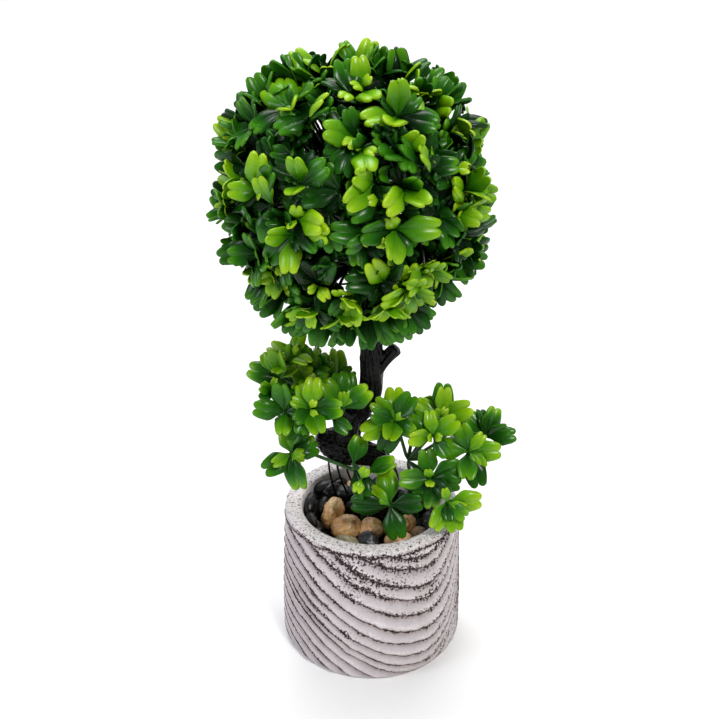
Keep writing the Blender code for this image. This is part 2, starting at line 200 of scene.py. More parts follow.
# %% [markdown]
# ## Meshes from arrays
# A plant like this has thousands of leaves. Making each with modelling tools would take minutes, so
# shapes are worked out as numpy arrays and turned into one mesh per piece. A few helpers do that. One
# gives the faces of a grid of points, for the pot, the bark and the leaves, and one makes a piece.


# %% Helpers for meshes
def grid_faces(rows, columns, wrap=False):
    """Faces of a grid of points in rows. With wrap, the last column joins the first."""
    index = np.arange(rows * columns).reshape(rows, columns)
    right = np.roll(index, -1, axis=1)
    last = columns if wrap else columns - 1
    corners = (index[:-1, :last], right[:-1, :last], right[1:, :last], index[1:, :last])
    return np.stack([corner.ravel() for corner in corners], axis=1)


def mesh_piece(name, points, faces, materials, face_material=None):
    """A smooth-shaded piece from points in millimetres and rows of face corners."""
    mesh = bpy.data.meshes.new(name)
    mesh.vertices.add(len(points))
    mesh.vertices.foreach_set("co", (np.asarray(points, float) * MM).ravel())
    mesh.loops.add(faces.size)
    mesh.loops.foreach_set("vertex_index", faces.astype(np.int32).ravel())
    mesh.polygons.add(len(faces))
    mesh.polygons.foreach_set("loop_start", np.arange(0, faces.size, faces.shape[1], dtype=np.int32))
    if face_material is not None:
        mesh.polygons.foreach_set("material_index", face_material.astype(np.int32))
    for each in materials:
        mesh.materials.append(each)
    mesh.update(calc_edges=True)
    mesh.shade_smooth()
    obj = bpy.data.objects.new(name, mesh)
    bpy.context.scene.collection.objects.link(obj)
    return obj


def join_meshes(parts):
    """One array of points and one of faces from several (points, faces)."""
    starts = np.cumsum([0] + [len(points) for points, _ in parts[:-1]])
    faces = np.vstack([faces + start for (_, faces), start in zip(parts, starts)])
    return np.vstack([points for points, _ in parts]), faces


def dress(piece, slot, *nodes):
    """Says that a piece rides on the root and what it replaces. slot is not used."""
    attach(piece, "root")
    if nodes:
        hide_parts(*nodes)


def point_value(piece, name, values):
    """Stores one number at each point, for a material to read."""
    stored = piece.data.attributes.new(name, "FLOAT", "POINT")
    stored.data.foreach_set("value", np.asarray(values, np.float32))


def rough(place, scale, octaves=3):
    """Smooth noise from -1 to 1 at a place in millimetres, with features about scale wide."""
    return noise.fractal(Vector(place) / scale, 1.0, 2.0, octaves) / 1.6


# %% [markdown]
# ## Pot: cast cement with a wave relief, whitewashed
# The real pot is poured in a mould carved with uneven waves, then painted dark and wiped over with
# thick whitewash, which breaks into specks round the dark grooves. The wash is painted paler on the
# bulges and greyer in the recesses, partly as the wash lies and partly as painted shade in the recesses.
# A bump map could fake the waves, but they show in the pot's outline and catch the light, so they are
# true relief on a fine grid. Its height and its distance from the nearest groove come from one rule:
# grooves at uneven heights, all lifted by the same slow wave round the pot. The distance is stored
# on the mesh, so that the paint can follow the relief exactly. The finest lines are narrower than the
# grid's half a millimetre, so it is stored with a sign, below or above the groove: a value that
# changes sign between two points still puts the line in its place, as thin as it should be.

# %% Pot sizes
POT_RIM_RADIUS = 45.0
POT_FOOT_RADIUS = 47.8
POT_HEIGHT = 78.0
POT_BORE_RADIUS = 36.5
POT_FLOOR = 9.0
POT_COLUMNS = 480
WAVE_LOW = 38.0
WAVE_RISE = 36.0
WAVE_STEEP_SIDE = 64.0
WAVE_SLOW_SIDE = 116.0
GROOVES = [71.0, 64.3, 53.6, 45.8, 36.5, 27.0, 19.5, 12.3, 6.0, 1.5]
GROOVES += [-5.5, -13.0, -20.0, -27.5, -35.0, -43.0]
GROOVE_DEPTH = 1.0
BULGE_OUT = 0.3
BULGE_AT = 0.14
FORK_WIDTH = 4.0
FORK_FROM = 0.35
RIM_LINE = 75.2
WASH_SIDE = 2.5
RIM_LINE_SIDE = 1.8
print("pot:", 2 * POT_RIM_RADIUS, "mm across,", POT_HEIGHT, "mm high,", len(GROOVES), "grooves")


# %% Wave rule
def wave_rise(angle):
    """How far the grooves are lifted at an angle in degrees from the front, towards the right."""
    away = (angle - WAVE_LOW + WAVE_SLOW_SIDE) % (WAVE_STEEP_SIDE + WAVE_SLOW_SIDE) - WAVE_SLOW_SIDE
    side = np.where(away > 0, WAVE_STEEP_SIDE, WAVE_SLOW_SIDE)
    return WAVE_RISE * 0.5 * (1 - np.cos(math.pi * away / side))


def wave_relief(angle, height, wobble):
    """How far the waves stand out, from 0 to 1, and the distances to the grooves, forks and rim line."""
    grooves = np.array(sorted(GROOVES + [POT_HEIGHT, POT_HEIGHT + 8]))
    rise = wave_rise(angle)
    phase = height - rise + wobble
    above = np.clip(np.searchsorted(grooves, phase), 1, len(grooves) - 1)
    low = grooves[above - 1]
    high = grooves[above]
    part = np.clip((phase - low) / (high - low), 0, 1)
    under = np.sin(np.clip(part / BULGE_AT, 0, 1) * math.pi / 2) ** 0.8
    over = 1 - np.clip((part - BULGE_AT) / (1 - BULGE_AT), 0, 1) ** 1.3
    bulge = np.where(part < BULGE_AT, under, over)
    fork = low + FORK_WIDTH * np.clip(rise / WAVE_RISE - FORK_FROM, 0, 1)
    below = high - phase
    above_low = WASH_SIDE * (phase - low)
    groove = np.where(below < above_low, -below, above_low)
    rim_line = RIM_LINE_SIDE * (height - RIM_LINE + wobble * 0.5)
    return bulge, groove, phase - fork, rim_line


# %% [markdown]
# ### Profile of the pot
# The pot is nearly round, so it starts as half a section: under the foot, up the wall, over the
# rounded rim, down the bore and across the floor. The wall has a row of points every half millimetre,
# for the grooves, and the parts that nobody sees have few.

# %% Pot profile
rim = POT_RIM_RADIUS
foot = POT_FOOT_RADIUS
bore = POT_BORE_RADIUS
top = POT_HEIGHT
wall = [(foot, 3.6), (foot - 0.3, 0.36 * top), (rim + 1.2, 0.7 * top), (rim + 0.2, top - 2.4)]
wall_heights = np.linspace(1.0, top - 1.4, 160)
wall_radii = np.interp(wall_heights, [z for _, z in wall], [r for r, _ in wall])
wall_radii -= 0.8 * np.clip((3.6 - wall_heights) / 2.6, 0, 1) ** 2
rim_steps = np.linspace(0, 1, 12)
rim_radii = rim - 0.2 + (bore + 0.6 - rim) * rim_steps
rim_heights = top - 0.9 * np.abs(2 * rim_steps - 1) ** 3.5
inner_heights = np.linspace(top - 1.4, POT_FLOOR + 3, 24)
inner_radii = np.full(24, bore)
under_radii = np.array([0.5, foot - 6, foot - 3, foot - 1.4])
under_heights = np.array([0.0, 0.0, 0.0, 0.35])
floor_radii = np.array([bore - 3, 0.5])
floor_heights = np.array([POT_FLOOR, POT_FLOOR])
profile_radii = np.concatenate([under_radii, wall_radii, rim_radii, inner_radii, floor_radii])
profile_heights = np.concatenate([under_heights, wall_heights, rim_heights, inner_heights, floor_heights])
is_wall = np.zeros(len(profile_radii))
is_wall[len(under_radii) : len(under_radii) + len(wall_radii)] = 1
is_wall *= np.clip((profile_heights - 0.8) / 1.5, 0, 1) * np.clip((top - 0.6 - profile_heights) / 2.0, 0, 1)
is_cast = (profile_radii > bore - 0.5).astype(float)
print("pot profile:", len(profile_radii), "rows")

# %% [markdown]
# ### Relief of the pot
# The section is turned round the axis, and each point then moves in or out by the wave rule. A slow
# wobble bends the grooves as a hand-carved mould has them, and a fine grain roughens all that was
# cast against it. The foot stays flat, because the pot stands on it.

# %% Pot relief
turns = np.arange(POT_COLUMNS) * 360 / POT_COLUMNS
heights, angles = np.meshgrid(profile_heights, turns, indexing="ij")
radii = np.repeat(profile_radii[:, None], POT_COLUMNS, axis=1)
sines = np.sin(np.radians(angles))
cosines = np.cos(np.radians(angles))
surface = np.stack([radii * sines, -radii * cosines, heights], axis=2).reshape(-1, 3)
wobble = np.array([1.5 * rough(p, 16) + 0.5 * rough(p, 4) for p in surface]).reshape(heights.shape)
grain = np.array([0.2 * rough(p, 2.4) + 0.09 * rough(p, 0.9, 2) for p in surface]).reshape(heights.shape)
bulge, groove, fork, rim_line = wave_relief(angles, heights, wobble)
deep = is_wall[:, None]
radii = radii + deep * (BULGE_OUT - GROOVE_DEPTH * (1 - bulge)) + is_cast[:, None] * grain
heights = heights + (1 - deep) * is_cast[:, None] * grain * 0.8
heights[:4] = under_heights[:, None]
surface = np.stack([radii * sines, -radii * cosines, heights], axis=2).reshape(-1, 3)
pot_faces = grid_faces(len(profile_radii), POT_COLUMNS, wrap=True)
print("pot relief points:", len(surface), "groove depth", GROOVE_DEPTH, "mm")

# %% [markdown]
# ### Where the stain shows
# The wash is wiped by hand, so it comes away more in some places than in others. How far the stain
# reaches from each groove is stored on the mesh in millimetres: a thin line at the left, more at the
# front near the rim, a rubbed patch left of the middle and one small chip. The rim has no groove, so
# it is given an even distance at which only a few specks come through.

# %% Stain
RIM_SPECK_GAP = 2.1
RIM_WASH = 1.25
RIM_REACH = 1.03
LEAST_REACH = 0.15
MOST_REACH = 3.8

side_turn = (angles + 180) % 360 - 180
front = np.exp(-(((side_turn - 12) / 55) ** 2))
right = 0.8 * np.clip((side_turn - 25) / 25, 0, 1) * np.clip((130 - side_turn) / 40, 0, 1)
high_up = np.clip((heights - 18) / 45, 0, 1)
chip = np.exp(-(((side_turn + 13) / 6) ** 2) - ((heights - 29) / 3) ** 2)
patches = np.array([rough(p, 14, 2) for p in surface]).reshape(heights.shape)
rubbed = np.exp(-(((side_turn + 6) / 24) ** 2)) * np.clip((heights - 48) / 16, 0, 1)
stain_reach = 0.3 + 0.3 * patches + right + front * high_up * (1.3 + 2.2 * patches)
stain_reach = np.clip(stain_reach + 1.1 * rubbed + 0.9 * chip, LEAST_REACH, MOST_REACH)
on_rim = heights > top - 1.6
bare_gap = np.where(on_rim, RIM_SPECK_GAP, 1.4 * RIM_SPECK_GAP)
stain_reach = np.where((deep > 0.2) & ~on_rim, stain_reach, RIM_REACH)
groove, fork, rim_line = (np.where(deep > 0.2, line, bare_gap) for line in (groove, fork, rim_line))
print("stain reaches", round(stain_reach.mean(), 2), "mm from a groove on average")

# %% [markdown]
# ## Pot finish: whitewash over dark stain
# Whitewash is a chalky lime paint. It scatters light widely, so it is very rough with no gloss.
# Real specks of the dark stain showing through are 0.3 to 1 mm wide. A noise of that size, added to
# the stored distance from the groove, breaks the edge of the dark into specks as wiping does. The
# bottom of the groove keeps its stain, so a thin solid line of varying width runs through the specks.
# Round them lies a brownish fringe, where the wash is thin enough for the stain to show through it.

# %% Whitewash: distance to the nearest line
CEMENT_IOR = 1.5
GRID_SLACK = 0.35

whitewash, tree, shader = new_material("cast_cement_whitewash", "#CFC6CA", 0.9, CEMENT_IOR)
coordinates = add_node(tree, "ShaderNodeTexCoord").outputs["Object"]
groove_side, groove_gap, fork_side, rim_side, reach, standing = (
    add_node(tree, "ShaderNodeAttribute", attribute_name=name).outputs["Fac"]
    for name in ("groove_side", "groove_gap", "fork_side", "rim_side", "stain_reach", "standing_out")
)
off_groove, off_fork, off_rim = (
    add_node(tree, "ShaderNodeMath", {0: side}, operation="ABSOLUTE").outputs["Value"]
    for side in (groove_side, fork_side, rim_side)
)
gap_left = {0: groove_gap, 1: GRID_SLACK}
sure = add_node(tree, "ShaderNodeMath", gap_left, operation="SUBTRACT").outputs["Value"]
distance = add_node(tree, "ShaderNodeMath", {0: off_groove, 1: sure}, operation="MAXIMUM").outputs["Value"]
for other in (off_fork, off_rim):
    both = {0: distance, 1: other}
    distance = add_node(tree, "ShaderNodeMath", both, operation="MINIMUM").outputs["Value"]
print("lines stored on the pot: grooves, forks and the rim's")

# %% Whitewash: specks and solid line
# These noises are set by their cells, and their patches are 0.4 mm and 3 mm wide.
SPECK_CELL = 1.15
SMEAR_CELL = 9.0
LINE_VARIES = 1.6

speck_noise = {"Vector": coordinates, "Scale": 1000 / SPECK_CELL, "Detail": 4.0, "Roughness": 0.68}
specks = add_node(tree, "ShaderNodeTexNoise", speck_noise).outputs["Fac"]
smear_noise = {"Vector": coordinates, "Scale": 1000 / SMEAR_CELL, "Detail": 3.0}
smears = add_node(tree, "ShaderNodeTexNoise", smear_noise).outputs["Fac"]
speck_range = {"Value": specks, "From Min": 0.3, "From Max": 0.7, "To Min": -2.8, "To Max": 1.3}
broken = add_node(tree, "ShaderNodeMapRange", speck_range, clamp=False).outputs["Result"]
spread = add_node(tree, "ShaderNodeMath", {0: broken, 1: reach}, operation="MULTIPLY").outputs["Value"]
edge = add_node(tree, "ShaderNodeMath", {0: distance, 1: spread}, operation="ADD").outputs["Value"]
bare_range = {"Value": edge, "From Min": 0.1, "From Max": 0.32, "To Min": 1.0, "To Max": 0.0}
specked = add_node(tree, "ShaderNodeMapRange", bare_range).outputs["Result"]
thinned = {0: smears, 1: LINE_VARIES, 2: distance}
core = add_node(tree, "ShaderNodeMath", thinned, operation="MULTIPLY_ADD").outputs["Value"]
core_range = {"Value": core, "From Min": 1.05, "From Max": 1.3, "To Min": 1.0, "To Max": 0.0}
line = add_node(tree, "ShaderNodeMapRange", core_range).outputs["Result"]
bare = add_node(tree, "ShaderNodeMath", {0: specked, 1: line}, operation="MAXIMUM").outputs["Value"]
fringe_range = {"Value": edge, "From Min": 0.2, "From Max": 2.0, "To Min": 0.6, "To Max": 0.0}
fringe = add_node(tree, "ShaderNodeMapRange", fringe_range).outputs["Result"]
print("specks in cells of", SPECK_CELL, "mm, smears in cells of", SMEAR_CELL, "mm")

# %% Whitewash: colours and grit
# A noise's patches are about this part of its cells, so a patch size in millimetres gives its scale.
NOISE_PATCH = 0.35
GRIT_SIZE = 0.35
FRINGE_COLOUR = "#A08C88"

grit_noise = {"Vector": coordinates, "Scale": 1000 / GRIT_SIZE * NOISE_PATCH, "Detail": 3.0}
grit = add_node(tree, "ShaderNodeTexNoise", grit_noise).outputs["Fac"]
mottle_mix = {"Factor": 0.5, "A": smears, "B": grit}
mottle = add_node(tree, "ShaderNodeMix", mottle_mix, data_type="FLOAT").outputs["Result"]
# The wash is paler where the wave stands out and greyer in the recesses: partly how the wash lies, partly
# painted shade in the recesses.
wash_and_shade_mix = {"Factor": 0.5, "A": standing, "B": mottle}
wash_and_shade = add_node(tree, "ShaderNodeMix", wash_and_shade_mix, data_type="FLOAT").outputs["Result"]
paint = colour_ramp(tree, wash_and_shade, [(0.3, "#A39A9D"), (0.5, "#BDB5B8"), (0.66, "#CEC6C9"), (0.78, "#E5E1E2")])
stain = colour_ramp(tree, specks, [(0.3, "#110809"), (0.5, "#261719"), (0.66, "#4D2F2A")])
fringe_mix = {"Factor": fringe, "A": paint, "B": linear(FRINGE_COLOUR)}
fringed = add_node(tree, "ShaderNodeMix", fringe_mix, data_type="RGBA").outputs["Result"]
bare_mix = {"Factor": bare, "A": fringed, "B": stain}
colour = add_node(tree, "ShaderNodeMix", bare_mix, data_type="RGBA").outputs["Result"]
tree.links.new(colour, shader.inputs["Base Color"])
lumps = add_node(tree, "ShaderNodeMath", {0: grit, 1: specks}, operation="ADD").outputs["Value"]
bump = add_node(tree, "ShaderNodeBump", {"Height": lumps, "Strength": 0.5, "Distance": 0.25 * MM})
tree.links.new(bump.outputs["Normal"], shader.inputs["Normal"])
print("whitewash nodes:", len(tree.nodes))

# %% Pot
pot = mesh_piece("pot_cast_relief", surface, pot_faces, [whitewash])
point_value(pot, "groove_side", groove.ravel())
point_value(pot, "groove_gap", np.abs(groove).ravel())
point_value(pot, "fork_side", fork.ravel())
point_value(pot, "rim_side", rim_line.ravel())
point_value(pot, "stain_reach", stain_reach.ravel())
# How far each point stands out sets how pale its wash is: partly how the wash lies, partly painted shade in
# the recesses.
point_value(pot, "standing_out", np.where(deep > 0.2, bulge, RIM_WASH).ravel())
dress(pot, "pot_cement", "pot")
print("pot faces:", len(pot_faces))


# %% [markdown]
# ## Filling and pebbles
# The pot is filled with dark foam that holds the stems, hidden under a bed of river stones. Such
# stones are worn by water and then tumbled, so they are smooth, uneven ovals: tan quartzite with
# rusty patches, grey-brown siltstone and black basalt, some of it polished.
# Each stone starts from its solid in the frame, which gives its place, size and heading. It is
# smoothed by subdivision, which draws it in, so it is let out again to its size or a little over. Slow
# noise dents it and a quicker one chips it, so no two are alike. Behind them, more black stones are
# heaped against the wall, and small dark chips fill the gaps, scattered on the foam.

# %% Stone wear
STONE_DENT = 0.18
STONE_CHIP = 0.13
STONE_PIT = 0.02
PIT_SIZE = 1.1
print("stones: dents to", STONE_DENT, "and chips to", STONE_CHIP, "of a stone's radius")


def weathered(points, centre, size):
    """The points of a smooth stone, dented by slow noise, chipped by a quicker one and finely pitted."""
    dented = []
    for point in points:
        away = Vector(point - centre)
        dent = STONE_DENT * rough(Vector(point) + away * 0.4, size * 0.75, 2) - 0.02
        chip = STONE_CHIP * abs(rough(Vector(point) + away, size * 0.4, 2))
        pit = STONE_PIT * rough(point, PIT_SIZE, 2)
        dented.append(centre + np.array(away) * (1 + dent - chip + pit))
    return np.array(dented)


# %% Stone from a solid
STONE_LEVELS = 3
STONE_SWELL = {"pebble_tan": 1.22, "pebble_grey": 1.2, "pebble_slate": 1.15}
PLAIN_SWELL = 1.05


def stone_mesh(node):
    """Points in millimetres and triangles of a worn stone, in the place and size of a node's solid."""
    bm = bmesh.new()
    bm.from_mesh(node.data)
    bmesh.ops.remove_doubles(bm, verts=bm.verts, dist=0.01 * MM)
    helper = bpy.data.objects.new("helper", bpy.data.meshes.new("helper"))
    bm.to_mesh(helper.data)
    bm.free()
    bpy.context.scene.collection.objects.link(helper)
    smoother = helper.modifiers.new("smooth", "SUBSURF")
    smoother.levels = STONE_LEVELS
    smooth = bpy.data.meshes.new_from_object(helper.evaluated_get(bpy.context.evaluated_depsgraph_get()))
    bpy.data.objects.remove(helper, do_unlink=True)
    points = np.array([vert.co for vert in smooth.vertices]) / MM
    faces = np.array([face.vertices for face in smooth.polygons])
    low, high = (np.array(corner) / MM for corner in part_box(node.name))
    centre = (low + high) / 2
    swell = STONE_SWELL.get(node.data.materials[0].name, PLAIN_SWELL)
    points = centre + (points - centre) * (high - low) * swell / (points.max(axis=0) - points.min(axis=0))
    return weathered(points, centre, (high - low).min()), faces


# %% [markdown]
# ## Stone finishes
# Quartzite takes a dull polish, so it has soft highlights over a warm mottle. Basalt takes a bright
# one. The mottle of real river stones has patches 2 to 4 mm wide with finer grains about 0.4 mm wide.
# So one ramp from dark to pale is read by a mix of two noises of those sizes, for every kind of
# stone. Slate keeps its pale colour for the few veins where that mix is highest.

# %% Stone materials
PATCH_SIZE = 3.0
GRAIN_SIZE = 0.4
QUARTZ_IOR = 1.54
BASALT_IOR = 1.6
STONE_STOPS = (0.32, 0.45, 0.56, 0.7)
# Each slot has a material name, four colours from dark to pale, a roughness, an IOR and a sheen.
STONES = {
    "pebble_tan": ("tumbled_quartzite_tan", "#7A5028 #BC8B55 #D6AE78 #ECD2A6", 0.36, QUARTZ_IOR, 0.5),
    "pebble_brown": ("tumbled_siltstone_brown", "#241A14 #4C3820 #6B5130 #8E724C", 0.34, QUARTZ_IOR, 0.5),
    "pebble_grey": ("tumbled_siltstone_grey", "#5A543E #857C5E #A0987A #BDB596", 0.4, QUARTZ_IOR, 0.5),
    "pebble_slate": ("tumbled_slate", "#08080A #17181B #35373A #C4C2BC", 0.36, BASALT_IOR, 0.4),
    "pebble_black": ("polished_basalt", "#070708 #0D0D0E #151517 #242528", 0.4, BASALT_IOR, 0.32),
}


def stone_material(name, colours, roughness, ior, sheen):
    """A mottled stone in four colours from dark to pale. Less sheen stands for a duller polish."""
    made, tree, shader = new_material(name, colours[:7], roughness, ior)
    shader.inputs["Specular IOR Level"].default_value = sheen
    coordinates = add_node(tree, "ShaderNodeTexCoord").outputs["Object"]
    patches = {"Vector": coordinates, "Scale": 1000 / PATCH_SIZE * NOISE_PATCH, "Detail": 5.0}
    patches["Distortion"] = 1.2
    mottle = add_node(tree, "ShaderNodeTexNoise", patches).outputs["Fac"]
    grains = {"Vector": coordinates, "Scale": 1000 / GRAIN_SIZE * NOISE_PATCH, "Detail": 2.0}
    fine = add_node(tree, "ShaderNodeTexNoise", grains).outputs["Fac"]
    both = {"Factor": 0.25, "A": mottle, "B": fine}
    mixed = add_node(tree, "ShaderNodeMix", both, data_type="FLOAT").outputs["Result"]
    ramp = colour_ramp(tree, mixed, list(zip(STONE_STOPS, colours.split())))
    tree.links.new(ramp, shader.inputs["Base Color"])
    bump = add_node(tree, "ShaderNodeBump", {"Height": fine, "Strength": 0.25, "Distance": 0.1 * MM})
    tree.links.new(bump.outputs["Normal"], shader.inputs["Normal"])
    return made


stone_materials = {slot: stone_material(*facts) for slot, facts in STONES.items()}
print("stone materials:", len(stone_materials))

# %% Stones
stone_nodes = [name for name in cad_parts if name.startswith("pebble_")]
for name in stone_nodes:
    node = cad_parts[name]
    slot = node.data.materials[0].name
    points, faces = stone_mesh(node)
    stone = mesh_piece(name.replace("pebble", "river_stone"), points, faces, [stone_materials[slot]])
    dress(stone, slot, name)
print("stones:", len(stone_nodes), "of", len(faces), "faces each")

# %% [markdown]
# ## Heaped stones
# More black stones lie behind and round the edge than the frame has solids for. They have the same
# wear and polish, but each starts from a ball that is stretched to its length, width and height and
# turned to its heading, because there is no solid to start from.

# %% Heaped basalt
# Each stone has x, y and z of its middle, length, width, height and heading in degrees.
HEAPED = [
    (-26.0, 21.0, 71.0, 14.0, 8.6, 9.4, 25), (-32.4, 7.0, 70.5, 17.0, 6.0, 11.0, 85),
    (-25.6, 9.0, 68.0, 13.0, 6.4, 10.0, 75), (-15.5, 21.0, 68.0, 12.0, 10.0, 10.0, 10),
    (-31.0, -7.5, 69.0, 12.0, 6.0, 9.0, 108), (-27.0, -17.0, 66.5, 10.0, 6.5, 8.0, 130),
    (-18.0, 29.0, 68.5, 10.0, 7.0, 8.0, 30), (-5.0, 21.5, 66.5, 11.0, 9.0, 9.0, 0),
    (6.0, 31.5, 68.0, 12.0, 6.5, 9.0, -10), (24.0, 23.0, 68.0, 12.0, 7.0, 8.0, -45),
    (31.6, 9.5, 67.0, 12.0, 6.0, 8.0, -75), (30.6, -6.5, 66.0, 10.0, 6.0, 8.0, 80),
]

parts = []
for x, y, z, *sizes, heading in HEAPED:
    place = Matrix.Rotation(math.radians(heading), 4, "Z") @ Matrix.Diagonal((*sizes, 1.0))
    bm = bmesh.new()
    bmesh.ops.create_icosphere(bm, subdivisions=4, radius=0.5, matrix=place)
    centre = np.array((x, y, z))
    points = np.array([vert.co for vert in bm.verts]) + centre
    faces = np.array([[vert.index for vert in face.verts] for face in bm.faces])
    parts.append((weathered(points, centre, min(sizes)), faces))
    bm.free()
heap = mesh_piece("heaped_basalt", *join_meshes(parts), [stone_materials["pebble_black"]])
dress(heap, "pebble_black")
print("heaped stones:", len(parts))

# %% [markdown]
# ## Chips
# Broken chips sift down between the stones and hide the foam. Real ones are sharp and 2 to 4 mm long.
# A ball of few faces, flattened, turned and pushed about by noise, is enough at that size, and all of
# them are one piece.

# %% Chips on the filling
FILLING_TOP = 60.0
CHIP_COUNT = 420
CHIP_SIZES = (1.6, 3.6)
CHIP_RING = 35.0
CHIP_DENT = 0.16

chance = random.Random(5)
bm = bmesh.new()
for _ in range(CHIP_COUNT):
    away = CHIP_RING * math.sqrt(chance.random())
    turn = chance.uniform(0, math.tau)
    size = chance.uniform(*CHIP_SIZES)
    lift = size * chance.uniform(0.0, 0.35)
    centre = Vector((away * math.cos(turn), away * math.sin(turn), FILLING_TOP + lift))
    flat = Matrix.Diagonal((1.0, chance.uniform(0.6, 0.9), chance.uniform(0.5, 0.8), 1.0))
    spin = chance.uniform(0, math.tau)
    heading = Matrix.Rotation(spin, 4, Vector([chance.uniform(-1, 1) for _ in range(3)]))
    place = Matrix.Translation(centre) @ heading @ flat
    made = bmesh.ops.create_icosphere(bm, subdivisions=1, radius=size / 2, matrix=place)
    for vert in made["verts"]:
        vert.co += (vert.co - centre) * CHIP_DENT * rough(vert.co, size * 0.6, 2)
chip_points = np.array([vert.co for vert in bm.verts])
chip_faces = np.array([[vert.index for vert in face.verts] for face in bm.faces])
bm.free()
chips = mesh_piece("dark_chips", chip_points, chip_faces, [stone_materials["pebble_black"]])
dress(chips, "pebble_black")
print("chips:", CHIP_COUNT)

# %% [markdown]
# ## Foam
# Floral foam is a stiff phenolic foam of cells just under a millimetre wide, here dyed dark. Light is
# caught in the open cells, so it looks dull and nearly black, with no gloss. Cells are what a Voronoi
# texture draws, in colour and in bump. The block is a turned section with an uneven top.

# %% Foam
FOAM_ROWS = 40
FOAM_COLUMNS = 140
FOAM_CELL = 0.8333
FOAM_IOR = 1.5

foam, tree, shader = new_material("floral_foam_dark", "#0D0C0B", 0.95, FOAM_IOR)
coordinates = add_node(tree, "ShaderNodeTexCoord").outputs["Object"]
cell_sizes = {"Vector": coordinates, "Scale": 1000 / FOAM_CELL}
cells = add_node(tree, "ShaderNodeTexVoronoi", cell_sizes).outputs["Distance"]
tree.links.new(colour_ramp(tree, cells, [(0.1, "#060505"), (0.8, "#1A1715")]), shader.inputs["Base Color"])
bump = add_node(tree, "ShaderNodeBump", {"Height": cells, "Strength": 0.6, "Distance": 0.4 * MM})
tree.links.new(bump.outputs["Normal"], shader.inputs["Normal"])
edge = POT_BORE_RADIUS - 0.3
foam_radii = np.concatenate([[0.3, edge - 3.2], [edge, edge], np.linspace(edge, 0.3, FOAM_ROWS)])
foot_heights = [POT_FLOOR + 0.3, POT_FLOOR + 0.3, POT_FLOOR + 3.5, FILLING_TOP - 1]
foam_heights = np.concatenate([foot_heights, [FILLING_TOP] * FOAM_ROWS])
turns = np.arange(FOAM_COLUMNS) * math.tau / FOAM_COLUMNS
foam_points = []
for radius, height in zip(foam_radii, foam_heights):
    for turn in turns:
        point = Vector((radius * math.sin(turn), -radius * math.cos(turn), height))
        point.z += 0.5 * rough(point, 2.0) - 0.4 if height == FILLING_TOP else 0.0
        foam_points.append(point)
foam_faces = grid_faces(len(foam_radii), FOAM_COLUMNS, wrap=True)
filling = mesh_piece("foam_filling", np.array(foam_points), foam_faces, [foam])
dress(filling, "filling", "pot_filling")
print("foam faces:", len(foam_faces))

# %% [markdown]
# ## Trunk: moulded polyethylene bark
# The trunk is one plastic moulding over a steel wire, cast from real twisted stems, so its bark runs
# in long cords with finer grain between, and crosswise folds where it was bent to shape.
# Each limb is swept as a dense tube along its bent line. The cords are noise sampled on a tube that
# is squeezed along its length, which stretches the noise into grain. A voxel remesh then joins the
# limbs into one skin with soft joints, as in the moulding.

# %% Limb sizes
# Each limb's points have x, z and a radius. All lie in the plane y = TRUNK_Y.
TRUNK_Y = 3.0
LOWER_LIMB = [
    (8.0, 60.3, 6.4), (8.0, 68.0, 5.7), (8.4, 82.0, 5.2), (7.6, 94.0, 5.2), (2.0, 102.4, 5.5),
    (-5.0, 105.2, 6.4), (-13.0, 107.8, 8.6), (-20.0, 110.6, 8.2), (-25.4, 113.0, 5.4), (-29.0, 114.2, 3.2),
]
UPPER_LIMB = [
    (-14.0, 113.0, 7.0), (-10.6, 125.0, 6.8), (-6.4, 131.6, 6.7), (-2.6, 137.0, 6.3), (-0.8, 143.0, 5.5),
    (-0.6, 152.0, 5.3), (-0.8, 166.0, 5.2), (-2.6, 190.0, 4.9), (-5.6, 214.0, 4.2), (-8.2, 236.0, 3.2),
]
STUB_BOUGH = [
    (-1.0, 146.0, 3.8), (0.5, 150.0, 3.6), (5.0, 156.4, 3.2), (8.8, 161.0, 3.0), (12.0, 164.6, 2.9),
]
print("limb points:", len(LOWER_LIMB), len(UPPER_LIMB), len(STUB_BOUGH))


# %% Routes and tubes
def smooth_route(points, steps):
    """Catmull-Rom points through the given ones, as an array."""
    points = np.asarray(points, float)
    padded = np.vstack([2 * points[0] - points[1], points, 2 * points[-1] - points[-2]])
    t = np.linspace(0, 1, steps, endpoint=False)[:, None]
    parts = []
    for a, b, c, d in zip(padded, padded[1:], padded[2:], padded[3:]):
        bend = (2 * a - 5 * b + 4 * c - d) * t**2 + (3 * b - a - 3 * c + d) * t**3
        parts.append((2 * b + (c - a) * t + bend) * 0.5)
    return np.vstack([*parts, points[-1:]])


def evenly(route, step):
    """The route resampled so that its points lie step apart along it."""
    lengths = np.linalg.norm(np.diff(route[:, :3], axis=0), axis=1)
    along = np.concatenate([[0], np.cumsum(lengths)])
    marks = np.linspace(0, along[-1], max(2, round(along[-1] / step) + 1))
    return np.stack([np.interp(marks, along, column) for column in route.T], axis=1), marks


def tube(places, radii, sides):
    """Points and faces of a tube along places. radii holds one radius a place, or one a point."""
    places = np.asarray(places, float)
    headings = np.gradient(places, axis=0)
    headings /= np.linalg.norm(headings, axis=1)[:, None]
    across = np.array(Vector(headings[0]).orthogonal().normalized())
    angles = np.arange(sides) * math.tau / sides
    radii = np.broadcast_to(np.asarray(radii, float).reshape(len(places), -1), (len(places), sides))
    rings = []
    for place, heading, radius in zip(places, headings, radii):
        across = across - heading * across.dot(heading)
        across /= np.linalg.norm(across)
        over = np.cross(heading, across)
        ring = np.outer(radius * np.cos(angles), across) + np.outer(radius * np.sin(angles), over)
        rings.append(place + ring)
    return np.vstack(rings), grid_faces(len(places), sides, wrap=True)


# %% [markdown]
# ### Relief of the bark
# Each noise is asked for its value at a point on the limb, with the distance along the limb divided by
# a length much greater than the width. The cords wind slowly, as the fibres of a twisted stem do.

